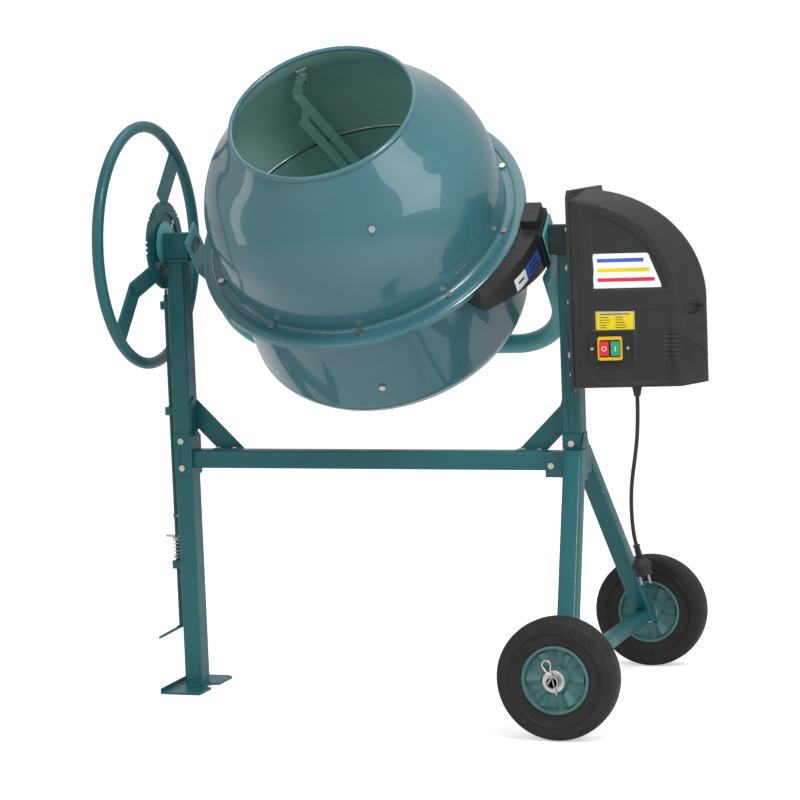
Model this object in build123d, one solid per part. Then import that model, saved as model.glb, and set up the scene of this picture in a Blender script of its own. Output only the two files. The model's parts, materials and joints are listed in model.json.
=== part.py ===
from build123d import *
import math
import os

# Electric concrete mixer with a tilting drum.
# Machine frame, in millimetres: X along the tilt axis from the tilt wheel to the motor unit,
# Y away from the mouth, Z up, zero on the ground under the drum's centre.
# Drum frame: the same X, Z along the drum's axis, zero where the drum and tilt axes cross.

# ---- Driving dimensions ----
TILT_Z = 988            # height of the tilt axis
REST_TILT = 42          # lean of the drum axis towards the mouth side at rest, degrees

POST_X = 447            # post centres
POST_W, POST_D = 40, 50
POST_TOP = 952
TUBE_WALL = 2.5
BEAM = 40
BEAM_Z = 514
SHEET = 3

WHEEL_R = 125
TYRE_W = 66
RIM_R = 70
TRACK_Y = 380           # wheel mid-plane from the machine's middle
AXLE_X = 505
AXLE_R = 14
AXLE_END_Y = 432

MOUTH_R = 196           # centre of the rolled rim
MOUTH_H = 379
BODY_R = 312
FLANGE_H = 50
FLANGE_R = 357
DRUM_BOTTOM_H = -230
SHELL_T = 2.5
FLANGE_BOLTS = 10
FLANGE_BOLT_R = 325

GEAR_MODULE = 5
RING_TEETH = 137
PINION_TEETH = 14
PINION_X = 334          # inner face of the pinion
PINION_W = 16
PINION_TIP_R = GEAR_MODULE * (PINION_TEETH / 2 + 1)
BACKLASH = 0.9

YOKE_X = 385
YOKE_R = 21
YOKE_BOTTOM_H = -331
YOKE_BEND_R = 130
YOKE_END_X = 403        # inner face of the flattened ends
YOKE_END_T = 6
YOKE_END_W = 68

TRUNNION_R = 16
PINION_SHAFT_R = 10
RUNNING = 0.05          # radial clearance of a shaft in its bore

DISC_X = -478           # notched disc, middle of its thickness
DISC_T = 5
DISC_R = 97
NOTCH_GROUP = 45        # degrees between groups of three notches
NOTCH_STEP = 7          # degrees between notches in a group
TILT_WHEEL_X = -518
TILT_WHEEL_R = 261
TILT_TUBE_R = 12.5
SPOKE_ANGLE = 48        # first spoke, from +Y towards +Z

BAR_X = -480            # pedal bar, middle of its thickness
BAR_T, BAR_W = 5, 16
GUIDE_ZS = (855, 620, 276)
LOCK_TIP_GAP = 1.0

COVER_X = 488           # open edge of the motor cover
COVER_END_X = 739
COVER_BOTTOM_Z = 682
COVER_TOP_Z = 1087
COVER_Y = 135
COVER_SIDE_X = 705      # where the flat front ends and the rounded end begins
COVER_SIDE_Y = 100
COVER_WALL = 3
ARCH_X, ARCH_Z = 475, 857

PULLEY_R = 85
MOTOR_PULLEY_R = 12
MOTOR_Z = 790
BELT_X, BELT_W, BELT_T = 500, 14, 4

# The published origin is the middle of the footprint box.
ORIGIN_X = (COVER_END_X + TILT_WHEEL_X - TILT_TUBE_R) / 2

UP = (Align.CENTER, Align.CENTER, Align.MIN)


# ---- Helpers ----
def save(name, *shapes):
    """Write one node from its separate solids."""
    placed = [Pos(-ORIGIN_X, 0, 0) * shape for shape in shapes]
    whole = placed[0] if len(placed) == 1 else Compound(children=placed)
    export_step(whole, f"parts/{name}.step")


def in_drum(shape):
    """Place a shape made in the drum frame."""
    return Pos(0, 0, TILT_Z) * Rot(REST_TILT, 0, 0) * shape


def on_tilt_axis(shape, x):
    """Lay a shape made along Z on the tilt axis, with its base at x."""
    return Pos(x, 0, TILT_Z) * Rot(0, 90, 0) * shape


def along_y(shape):
    """Lay a shape made along Z along +Y."""
    return Rot(-90, 0, 0) * shape


def tube(outer_r, inner_r, length):
    return Cylinder(outer_r, length, align=UP) - Cylinder(inner_r, length, align=UP)


def box_tube(width, depth, length, wall=TUBE_WALL, corner=5):
    """Rounded rectangular tube along +Z."""
    outside = RectangleRounded(width, depth, corner)
    inside = RectangleRounded(width - 2 * wall, depth - 2 * wall, corner - wall)
    return extrude(outside - inside, length)


def block(x_min, x_max, y_min, y_max, z_min, z_max):
    """Box between two corners."""
    size = Box(x_max - x_min, y_max - y_min, z_max - z_min, align=(Align.MIN,) * 3)
    return Pos(x_min, y_min, z_min) * size


def hexagon(across_flats, height):
    return extrude(RegularPolygon(across_flats / 2, 6, major_radius=False), height)


def bolt(radius, across_flats, length, nut_at=None):
    """Hex bolt with its seat at z = 0, its head above, and a nut below the grip length."""
    shape = hexagon(across_flats, 1.3 * radius) + Pos(0, 0, -length) * Cylinder(radius, length, align=UP)
    if nut_at is not None:
        shape += Pos(0, 0, -nut_at - 1.6 * radius) * hexagon(across_flats, 1.6 * radius)
    return shape


def drill(shape, places, radius, depth=200):
    """Cut a clearance hole for each bolt place."""
    for place in places:
        shape -= place * Cylinder(radius, depth)
    return shape


def sheet_of_revolution(outline, thickness):
    """Closed section of a spun sheet: a smooth outer line of (r, h) points, thickened inwards."""
    outer = Spline(*[(r, 0, h) for r, h in outline])
    inner_points = []
    for k in range(len(outline)):
        position = outer @ (k / (len(outline) - 1))
        tangent = outer % (k / (len(outline) - 1))
        inner_points.append(position + Vector(-tangent.Z, 0, tangent.X) * thickness)
    return outer, inner_points


# ---- Frame ----
def front_face(x, z, y):
    """A bolt place on a face that looks towards -Y."""
    return Pos(x, y, z) * Rot(90, 0, 0)


GRIP = POST_D + 2 * SHEET
LEFT_BOLTS = [front_face(-POST_X, z, -GRIP / 2) for z in (555, 495)]
COLLAR_BOLTS = [front_face(POST_X, 553, -GRIP / 2)]
BEAM_BOLTS = [front_face(400, 505, -BEAM / 2 - SHEET)]
HOUSING_BOLTS = [front_face(454, z, -GRIP / 2) for z in (925, 741)]
FRAME_HOLE_R = 4.4
FOOT_T = 5


def make_posts():
    left = Pos(-POST_X, 0, FOOT_T) * box_tube(POST_W, POST_D, POST_TOP - FOOT_T)
    right = Pos(POST_X, 0, 470) * box_tube(POST_W, POST_D, POST_TOP - 470)
    save("left_post", drill(left, LEFT_BOLTS, FRAME_HOLE_R))
    save("right_post", drill(right, COLLAR_BOLTS + HOUSING_BOLTS, FRAME_HOLE_R))


def make_foot():
    half_x, half_y, lip = 47, 100, 13
    outline = [(-half_x, -half_y), (half_x, -half_y), (half_x, -35), (half_x - 22, -22), (half_x - 22, 4),
               (half_x, 16), (half_x, half_y - 12), (half_x - 14, half_y), (-half_x, half_y)]
    plate = extrude(make_face(Polyline(*outline, close=True)), FOOT_T)
    plate += block(-half_x, -half_x + SHEET, -half_y, half_y, 0, lip)
    save("left_foot", Pos(-POST_X, 0, 0) * plate)


def make_beam():
    length = 2 * (POST_X - POST_W / 2 - SHEET)
    beam = Rot(0, 90, 0) * Pos(0, 0, -length / 2) * box_tube(BEAM, BEAM, length)
    save("cross_beam", drill(Pos(0, 0, BEAM_Z) * beam, BEAM_BOLTS, FRAME_HOLE_R))


def make_beam_brackets():
    inner = POST_X - POST_W / 2
    outer = inner + POST_W
    half = GRIP / 2
    left = block(-inner, -inner + SHEET, -half, half, 478, BRACE_POST_TAB[0] - 1)
    for y in (-half, half - SHEET):
        left += block(-outer, -inner, y, y + SHEET, 478, BRACE_POST_TAB[0] + 4)
    right = block(inner - SHEET, inner, -BEAM / 2 - SHEET, BEAM / 2 + SHEET, 480, 531)
    for y in (-BEAM / 2 - SHEET, BEAM / 2):
        right += block(386, inner - SHEET, y, y + SHEET, 480, 531)
    save("beam_brackets", drill(left, LEFT_BOLTS, FRAME_HOLE_R), drill(right, BEAM_BOLTS, FRAME_HOLE_R))


BRACE_POST_TAB = (566, 652)
BRACE_BEAM_TAB = (310, 398)
BRACE_BACK_Y = 21


def make_braces():
    """Sheet strips at 45 degrees near the back of the beam, with a tab folded forward at each end."""
    inner = POST_X - POST_W / 2
    top = BEAM_Z + BEAM / 2
    z_low, z_high = BRACE_POST_TAB[0] + 14, BRACE_POST_TAB[1] - 8
    x_in = inner - (z_high - top)
    x_out = inner - (z_low - top)
    strip = Polyline((inner, z_low), (inner, z_high), (x_in, top), (x_out, top), close=True)
    plate = Pos(0, BRACE_BACK_Y, 0) * extrude(Plane.XZ * make_face(strip), SHEET)
    y_front = -22
    tab_low, tab_high = BRACE_POST_TAB
    tab = Polyline((y_front, tab_low + 16), (0, tab_low), (BRACE_BACK_Y, tab_low + 14),
                   (BRACE_BACK_Y, tab_high - 14), (0, tab_high), (y_front, tab_high - 16), close=True)
    post_tab = Pos(inner - SHEET, 0, 0) * extrude(Plane.YZ * make_face(tab), SHEET)
    beam_tab = block(x_in + 1, x_out - 1, -14, BRACE_BACK_Y, top, top + SHEET)
    brace = drill(plate + post_tab + beam_tab, BRACE_SEATS, 3.2, 30)
    save("beam_braces", brace, mirror(brace, Plane.YZ))


BRACE_SEATS = [Pos(x, -3, BEAM_Z + BEAM / 2 + SHEET) for x in (332, 369)]


def make_frame_fasteners():
    """Through bolts of the frame joints, and the rivets of the brace tabs on the beam."""
    head = Cylinder(5.5, 2.2, align=UP) + Pos(0, 0, -SHEET) * Cylinder(3, SHEET, align=UP)
    rivets = [seat * head for seat in BRACE_SEATS]
    rivets += [mirror(rivet, Plane.YZ) for rivet in rivets]
    long_bolt = bolt(4, 13, GRIP + 12, nut_at=GRIP)
    short_bolt = bolt(4, 13, BEAM + 2 * SHEET + 12, nut_at=BEAM + 2 * SHEET)
    long_places = LEFT_BOLTS + COLLAR_BOLTS + HOUSING_BOLTS
    bolts = [place * long_bolt for place in long_places] + [place * short_bolt for place in BEAM_BOLTS]
    save("frame_fasteners", *bolts, *rivets)


# ---- Wheel stand ----
CROSS_TUBE = 32
CROSS_TUBE_END = 338
LEG_D = 34
COLLAR_Z, COLLAR_TOP = 541, 573


def make_stand():
    """Collar round the right post, two splayed legs, and the tube across their feet."""
    inner, outer, half = POST_X - POST_W / 2, POST_X + POST_W / 2, GRIP / 2
    top = Vector(455, -half - 22, 542)
    foot = Vector(AXLE_X, -322, WHEEL_R)
    reach = foot - top
    plane = Plane(origin=top - reach * 0.1, x_dir=(1, 0, 0), z_dir=reach)
    length = reach.length * 1.2
    half_tube = CROSS_TUBE / 2
    leg = plane * box_tube(POST_W, LEG_D, length, wall=3)
    leg &= block(400, 560, -CROSS_TUBE_END, -half, WHEEL_R - half_tube, COLLAR_Z)
    leg -= block(AXLE_X - half_tube, AXLE_X + half_tube, -400, 0, WHEEL_R - half_tube, WHEEL_R + half_tube)
    save("stand_legs", leg, mirror(leg, Plane.XZ))

    web = Polyline((0, COLLAR_TOP), (half, COLLAR_TOP), (half, COLLAR_Z), (58, 514), (58, 502), (38, 484),
                   (0, 484), close=True)
    gusset = Pos(outer, 0, 0) * extrude(Plane.YZ * make_face(web), SHEET)
    gusset -= mirror(plane * extrude(RectangleRounded(POST_W, LEG_D, 5), length), Plane.XZ)
    collar = gusset + mirror(gusset, Plane.XZ)
    for y in (-half, half - SHEET):
        collar += block(inner, outer, y, y + SHEET, COLLAR_Z, COLLAR_TOP)
    save("stand_collar", drill(collar, COLLAR_BOLTS, FRAME_HOLE_R))

    length = 2 * CROSS_TUBE_END
    cross = extrude(RectangleRounded(CROSS_TUBE, CROSS_TUBE, 3) - Circle(AXLE_R), length)
    save("stand_cross_tube", Pos(AXLE_X, -length / 2, WHEEL_R) * along_y(cross))


def make_axle():
    axle = Pos(AXLE_X, -AXLE_END_Y, WHEEL_R) * along_y(tube(AXLE_R, AXLE_R - 3, 2 * AXLE_END_Y))
    save("wheel_axle", drill(axle, CLIP_PLACES, CLIP_WIRE_R + 0.1, 60))


# ---- Wheels ----
HUB_HALF = 35
WASHER_T = 2.5
CLIP_WIRE_R = 2
CLIP_Y = TRACK_Y + HUB_HALF + WASHER_T + CLIP_WIRE_R + 1.5
CLIP_PLACES = [Pos(AXLE_X, y, WHEEL_R) * Rot(0, -25, 0) for y in (-CLIP_Y, CLIP_Y)]


def at_wheel(shape, side):
    return Pos(AXLE_X, side * TRACK_Y, WHEEL_R) * along_y(shape)


def tyre_solid():
    """Solid rubber tyre: a rounded section with its bead on the rim."""
    half = TYRE_W / 2
    bead, shoulder = RIM_R, WHEEL_R - 20
    line = Polyline((bead, half - 8), (bead, -half + 8), (bead + 9, -half + 2), (shoulder, -half))
    crown = ThreePointArc((shoulder, -half), (WHEEL_R, 0), (shoulder, half))
    close = Polyline((shoulder, half), (bead + 9, half - 2), (bead, half - 8))
    section = Plane.XZ * make_face([*line.edges(), *crown.edges(), *close.edges()])
    return revolve(section, Axis.Z)


def rim_solid():
    """Moulded rim: barrel, web with ribs, and a hub that runs on the axle."""
    barrel_half = TYRE_W / 2 - 4
    rim = Pos(0, 0, -barrel_half) * tube(RIM_R, RIM_R - 6, 2 * barrel_half)
    rim += Pos(0, 0, -HUB_HALF) * tube(24, AXLE_R + RUNNING, 2 * HUB_HALF)
    rim += Pos(0, 0, -4) * tube(RIM_R - 3, 20, 8)
    for k in range(6):
        rim += Rot(0, 0, 60 * k) * block(22, RIM_R - 3, -2.5, 2.5, -22, 22)
    return rim


def make_wheels():
    for name, side in (("front", -1), ("rear", 1)):
        save(f"{name}_tyre", at_wheel(tyre_solid(), side))
        save(f"{name}_rim", at_wheel(rim_solid(), side))
    # A washer outside each wheel, and a spacer between it and the cross tube.
    outer_y, inner_y = TRACK_Y + HUB_HALF + 0.3, CROSS_TUBE_END + 0.2
    spacer_t = TRACK_Y - HUB_HALF - 0.3 - inner_y
    rings = []
    for y, thick in ((outer_y, WASHER_T), (inner_y, spacer_t)):
        ring = tube(23, AXLE_R, thick)
        rings += [Pos(AXLE_X, start, WHEEL_R) * along_y(ring) for start in (y, -y - thick)]
    save("wheel_washers", *rings)


def make_hairpin_clips():
    """Hairpin: a straight leg through the axle, a loop, and a leg bowed round the outside."""
    bow = AXLE_R + CLIP_WIRE_R + 1.2
    straight = Line((0, 0, -22), (0, 0, 34))
    loop = ThreePointArc((0, 0, 34), (6, 0, 40), (12, 0, 34))
    bowed = Spline((12, 0, 34), (11, 0, 20), (bow, 0, 2), (13, 0, -12), (16, 0, -20),
                   tangents=((0, 0, -1), (1, 0, -1)))
    path = Wire([straight, loop, bowed])
    wire = sweep(Plane(origin=(0, 0, -22), z_dir=(0, 0, 1)) * Circle(CLIP_WIRE_R), path=path)
    save("hairpin_clips", *[place * wire for place in CLIP_PLACES])


# ---- Bearings on the post tops ----
def make_bearings():
    """Block on each post top; the left one carries the trunnion, the right one the sleeve."""
    for name, x_min, x_max in (("left_bearing_bracket", -470, -413), ("right_bearing_block", 411, 479)):
        body = block(x_min, x_max, -30, 30, POST_TOP, POST_TOP + 5)
        body += block(x_min, x_max, -24, 24, POST_TOP + 5, TILT_Z + 26)
        bore = Cylinder(TRUNNION_R + RUNNING, x_max - x_min, align=UP)
        save(name, body - on_tilt_axis(bore, x_min))


# ---- Tilting yoke ----
def make_yoke():
    """Tube bent to a U, each end pressed flat and set out to the plane of its bearing."""
    top_h, press_h, end_h = -120, -55, YOKE_END_W / 2 + 2
    corner_x = YOKE_X - YOKE_BEND_R
    corner_h = YOKE_BOTTOM_H + YOKE_BEND_R
    bend = YOKE_BEND_R * (1 - math.cos(math.radians(45)))
    left = [(-YOKE_X, 0, corner_h), (bend - YOKE_X, 0, YOKE_BOTTOM_H + bend), (-corner_x, 0, YOKE_BOTTOM_H)]
    right = [(-x, y, h) for x, y, h in reversed(left)]
    path = Wire([
        Line((-YOKE_X, 0, top_h), left[0]),
        ThreePointArc(*left),
        Line(left[2], right[0]),
        ThreePointArc(*right),
        Line(right[2], (YOKE_X, 0, top_h)),
    ])
    ring = Circle(YOKE_R) - Circle(YOKE_R - TUBE_WALL)
    yoke = sweep(Plane(origin=(-YOKE_X, 0, top_h), z_dir=(0, 0, -1)) * ring, path=path)
    flat_x = YOKE_END_X + YOKE_END_T / 2
    press = loft([Pos(YOKE_X, 0, top_h) * Circle(YOKE_R),
                  Pos(flat_x, 0, press_h) * RectangleRounded(YOKE_END_T, YOKE_END_W, YOKE_END_T / 2 - 0.1)])
    flat = Pos(flat_x, 0, press_h) * extrude(
        RectangleRounded(YOKE_END_T, YOKE_END_W, YOKE_END_T / 2 - 0.1), end_h - press_h)
    end = press + flat - Pos(YOKE_END_X, 0, 0) * Rot(0, 90, 0) * Cylinder(TRUNNION_R, 40)
    save("yoke_tube", in_drum(yoke + end + mirror(end, Plane.YZ)))


def make_trunnions():
    """The left trunnion carries disc and tilt wheel; the right one is a sleeve round the pinion shaft."""
    tip = DISC_X - DISC_T / 2
    left = on_tilt_axis(Cylinder(TRUNNION_R, -YOKE_END_X + 2 - tip, align=UP), tip)
    sleeve = tube(TRUNNION_R, PINION_SHAFT_R + 3, 478 - YOKE_END_X + 4)
    save("trunnions", left, on_tilt_axis(sleeve, YOKE_END_X - 4))


def notch_angles():
    """Angles of the lock notches from straight down, which is the notch in use at rest."""
    return [NOTCH_GROUP * group + NOTCH_STEP * k for group in range(8) for k in (-1, 0, 1)]


def in_tilt_wheel(shape, angle):
    """Turn a shape made in the (Y, X) plane to its angle round the tilt axis."""
    return Pos(0, 0, TILT_Z) * Rot(angle, 0, 0) * shape


def make_notched_disc():
    """Dished disc with a hub plate and groups of notches round its edge, on the left trunnion."""
    disc = tube(DISC_R, 72, DISC_T) + Pos(0, 0, -1) * tube(73, TRUNNION_R, WEB_T)
    disc += tube(43, TRUNNION_R, DISC_T + 1)
    for angle in notch_angles():
        disc -= Rot(0, 0, angle) * Pos(DISC_R, 0, 0) * Box(16, 5, 20)
    save("notched_disc", drill(on_tilt_axis(disc, DISC_X - DISC_T / 2), SPOKE_BOLTS, 3.2, 60))


WEB_T = 3
SPOKE_T, SPOKE_W = 6, 48
SPOKE_SEAT_X = DISC_X - DISC_T / 2 - 1 - SPOKE_T / 2
SPOKE_ANGLES = (SPOKE_ANGLE, SPOKE_ANGLE + 180)
SPOKE_BOLTS = [in_tilt_wheel(Pos(SPOKE_SEAT_X - SPOKE_T / 2, radius, 0) * Rot(0, -90, 0), angle)
               for angle in SPOKE_ANGLES for radius in (52, 64)]


def make_tilt_wheel():
    rim = Pos(TILT_WHEEL_X, 0, TILT_Z) * Rot(0, 90, 0) * Torus(TILT_WHEEL_R, TILT_TUBE_R)
    middle = Polyline((26, SPOKE_SEAT_X), (82, SPOKE_SEAT_X), (126, TILT_WHEEL_X),
                      (TILT_WHEEL_R - TILT_TUBE_R, TILT_WHEEL_X))
    strip = offset(middle, SPOKE_T / 2, side=Side.BOTH, kind=Kind.INTERSECTION)
    # The strip's own x is the radius and its y is the machine's X.
    profile = Plane(origin=(0, 0, 0), x_dir=(0, 1, 0), z_dir=(0, 0, -1)) * make_face(strip)
    spoke = Pos(0, 0, -SPOKE_W / 2) * extrude(profile, -SPOKE_W)
    spokes = [drill(in_tilt_wheel(spoke, angle) - rim, SPOKE_BOLTS, 3.2, 60) for angle in SPOKE_ANGLES]
    save("tilt_wheel_rim", rim)
    save("tilt_wheel_spokes", *spokes)
    save("tilt_wheel_bolts", *[place * bolt(3, 10, 14, nut_at=SPOKE_T + WEB_T) for place in SPOKE_BOLTS])


SPINDLE_R = 15
HUB_R = 78
HOUSING_BORE_R = 31
HOUSING_TOP_H = DRUM_BOTTOM_H - 16


def make_spindle_housing():
    """Bearing housing that stands on the yoke's bottom tube and carries the drum's spindle."""
    low = YOKE_BOTTOM_H + 8
    saddle = Pos(0, 0, YOKE_BOTTOM_H) * Rot(0, 90, 0) * Cylinder(YOKE_R, 200)
    body = Pos(0, 0, low) * Cylinder(38, HOUSING_TOP_H - low, align=UP) - saddle
    body -= Pos(0, 0, HOUSING_TOP_H - 46) * Cylinder(HOUSING_BORE_R, 60, align=UP)
    save("spindle_housing", in_drum(body))


def make_yoke_bearings():
    """Two bushes for the pinion shaft in its sleeve, and two bearings for the drum's spindle."""
    bush = tube(PINION_SHAFT_R + 3, PINION_SHAFT_R + RUNNING, 20)
    race = tube(HOUSING_BORE_R, SPINDLE_R + RUNNING, 14)
    bushes = [on_tilt_axis(bush, x) for x in (YOKE_END_X - 4, 458)]
    races = [in_drum(Pos(0, 0, HOUSING_TOP_H - depth) * race) for depth in (44, 16)]
    save("yoke_bearings", *bushes, *races)


def make_drum_spindle():
    length = 60
    top = DRUM_BOTTOM_H - 2
    spindle = Pos(0, 0, top - 6) * Cylinder(HUB_R, 6, align=UP)
    spindle += Pos(0, 0, top - length) * Cylinder(SPINDLE_R, length, align=UP)
    save("drum_spindle", in_drum(spindle))


# ---- Drum ----
FLANGE_BOLT_PLACES = [Rot(0, 0, -5.5 - 36 * k) * Pos(FLANGE_BOLT_R, 0, FLANGE_H)
                      for k in range(FLANGE_BOLTS)]
LIP = 12
CONE_OUTLINE = [(BODY_R, FLANGE_H), (317, 120), (311, 190), (282, 260), (235, 320),
                (MOUTH_R + SHELL_T / 2, MOUTH_H - 5)]


def on_cone(angle, height):
    """A place on the cone's outer face, with +Z pointing outwards."""
    line = Spline(*[(r, 0, h) for r, h in CONE_OUTLINE])
    low, high = 0, 1
    for _ in range(20):
        middle = (low + high) / 2
        if (line @ middle).Z < height:
            low = middle
        else:
            high = middle
    slope = line % low
    lean = math.degrees(math.atan2(-slope.X, slope.Z))
    return Rot(0, 0, angle) * Pos((line @ low).X, 0, height) * Rot(0, 90 - lean, 0)


def on_bowl(angle, height):
    """A place on the bowl's wall, with +Z pointing outwards."""
    return Rot(0, 0, angle) * Pos(BODY_R - 2.3, 0, height) * Rot(0, 90, 0)


# Each blade: its turn round the drum, its bolts in the cone and its bolt in the bowl.
BLADES = [(115, [on_cone(120, 242), on_cone(120, 318)], on_bowl(102.5, -133)),
          (-65, [on_cone(-60, 272)], on_bowl(-77.5, -133))]
BLADE_HOLES = [seat for _, cone_seats, bowl_seat in BLADES for seat in [*cone_seats, bowl_seat]]


def make_upper_drum():
    """Cone with a rolled mouth, and a flange with a down-turned lip at its lower edge."""
    outer, inner = sheet_of_revolution(CONE_OUTLINE, SHELL_T)
    under = FLANGE_H - SHELL_T
    inner_line = Spline(*inner)
    mouth = ThreePointArc(outer @ 1, (MOUTH_R, 0, MOUTH_H + 4.5), inner_line @ 1)
    low = Polyline(inner_line @ 0, ((inner_line @ 0).X, 0, under), (FLANGE_R - SHELL_T, 0, under),
                   (FLANGE_R - SHELL_T, 0, FLANGE_H - LIP), (FLANGE_R, 0, FLANGE_H - LIP),
                   (FLANGE_R, 0, FLANGE_H), outer @ 0)
    section = make_face([outer, mouth, inner_line, *low.edges()])
    drum = revolve(section, Axis.Z)
    drum = drill(drum, FLANGE_BOLT_PLACES, 4.4, 20)
    save("drum_upper", in_drum(drill(drum, BLADE_HOLES, 4.4, 60)))


def make_lower_drum():
    """Slightly tapered bowl with a rounded bottom edge, flanged at the top for the ring gear."""
    top = FLANGE_H - SHELL_T
    wall, corner = 309, 45
    bend = corner * (1 - math.cos(math.radians(45)))
    section = [
        Polyline((0, 0, DRUM_BOTTOM_H), (wall - corner, 0, DRUM_BOTTOM_H)),
        ThreePointArc((wall - corner, 0, DRUM_BOTTOM_H), (wall - bend, 0, DRUM_BOTTOM_H + bend),
                      (wall, 0, DRUM_BOTTOM_H + corner)),
        Polyline((wall, 0, DRUM_BOTTOM_H + corner), (BODY_R, 0, top - SHELL_T),
                 (335, 0, top - SHELL_T), (335, 0, top),
                 (BODY_R - SHELL_T, 0, top), (wall - SHELL_T, 0, DRUM_BOTTOM_H + corner)),
        ThreePointArc((wall - SHELL_T, 0, DRUM_BOTTOM_H + corner),
                      (wall - bend - 1.8, 0, DRUM_BOTTOM_H + bend + 1.8),
                      (wall - corner, 0, DRUM_BOTTOM_H + SHELL_T)),
        Polyline((wall - corner, 0, DRUM_BOTTOM_H + SHELL_T), (0, 0, DRUM_BOTTOM_H + SHELL_T),
                 (0, 0, DRUM_BOTTOM_H)),
    ]
    drum = revolve(make_face([edge for line in section for edge in line.edges()]), Axis.Z)
    drum = drill(drum, FLANGE_BOLT_PLACES, 4.4, 20)
    save("drum_lower", in_drum(drill(drum, BLADE_HOLES, 4.4, 60)))


PRESSURE = math.radians(20)
RING_PITCH_H = GEAR_MODULE * PINION_TEETH / 2


def make_ring_gear():
    """Crown ring bolted under the flange, with teeth that point down at the pinion."""
    tip = RING_PITCH_H - GEAR_MODULE
    root = RING_PITCH_H + 1.25 * GEAR_MODULE
    top = FLANGE_H - 2 * SHELL_T
    ring = Pos(0, 0, root) * tube(352, 314, top - root)
    ring = drill(ring, FLANGE_BOLT_PLACES, 4.4, 40)
    half = math.pi * GEAR_MODULE / 4 - BACKLASH / 2
    slope = math.tan(PRESSURE)
    wide = half + (root - RING_PITCH_H) * slope
    narrow = half - GEAR_MODULE * slope
    tooth_face = Polyline((-wide, root + 0.5), (-wide, root), (-narrow, tip), (narrow, tip), (wide, root),
                          (wide, root + 0.5), close=True)
    tooth = Pos(333, 0, 0) * extrude(Plane.YZ * make_face(tooth_face), 18.5)
    step = 360 / RING_TEETH
    ring = ring.fuse(*[Rot(0, 0, (k + 0.5) * step) * tooth for k in range(RING_TEETH)])
    save("ring_gear", in_drum(ring))


BLADE_R = 262           # distance of the bars from the drum's axis
BLADE_T = 5
PAD_T = 4
NUT_SPACE_R = 8.5
PAD_DEPTH = SHELL_T + 2     # pad's outer face below the wall's outer face


def flat_bar(start, end, width, thick=BLADE_T):
    """Flat bar between two points, its width as near to the drum's tangent (Y) as can be."""
    reach = end - start
    across = reach.cross(Vector(0, 1, 0)).normalized()
    return Plane(origin=start, x_dir=across, z_dir=reach) * Box(thick, width, reach.length, align=UP)


def make_blades():
    """Two pairs of parallel slanted bars, bolted to the cone above and to the bowl below."""
    top, low, aside = Vector(BLADE_R, 48, 236), Vector(BLADE_R, -60, -110), Vector(0, 30, 0)
    second = top + (low - top) * 0.22 + aside
    bars = flat_bar(top, low, 20) + flat_bar(second, low + aside, 20)
    bars += flat_bar(top + (low - top) * 0.12, second + (low - top) * 0.02, 16)
    half = BLADE_T / 2
    bars += block(BLADE_R - half, BLADE_R + half, low.Y - 10, low.Y + 40, low.Z - 8, low.Z + 14)
    blades = []
    for turn, cone_seats, bowl_seat in BLADES:
        blade = bars
        ends = [(top, seat, 10) for seat in cone_seats] + [(low, bowl_seat, -10)]
        for bar_end, seat, edge in ends:
            # The bars are made unturned, so the pads are placed in their frame.
            under_pad = Rot(0, 0, -turn) * seat * Pos(0, 0, -PAD_DEPTH - PAD_T)
            blade += flat_bar(bar_end, (under_pad * Pos(edge, 0, -2.5)).position, 20, PAD_T)
            blade += under_pad * Box(28, 24, PAD_T, align=UP)
            blade -= under_pad * Pos(0, 0, -20) * Cylinder(NUT_SPACE_R, 20, align=UP)
        blades.append(in_drum(drill(Rot(0, 0, turn) * blade, BLADE_HOLES, 4.4, 50)))
    save("mixing_blades", *blades)


def make_drum_bolts():
    """Bolts of the flange and ring gear, and bolts of the blades."""
    stack = FLANGE_H - (RING_PITCH_H + 1.25 * GEAR_MODULE)
    flange_bolt = bolt(4, 13, 17, nut_at=stack)
    blade_bolt = Pos(0, 0, 0.4) * bolt(4, 13, 17, nut_at=PAD_DEPTH + PAD_T + 0.5)
    bolts = [place * flange_bolt for place in FLANGE_BOLT_PLACES]
    bolts += [place * blade_bolt for place in BLADE_HOLES]
    save("drum_bolts", *[in_drum(shape) for shape in bolts])


# ---- Pinion, belt drive and motor ----
def involute(radius, base_r):
    """Involute angle at a radius, zero at and below the base circle."""
    roll = math.sqrt(max((radius / base_r) ** 2 - 1, 0))
    return roll - math.atan(roll)


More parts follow.
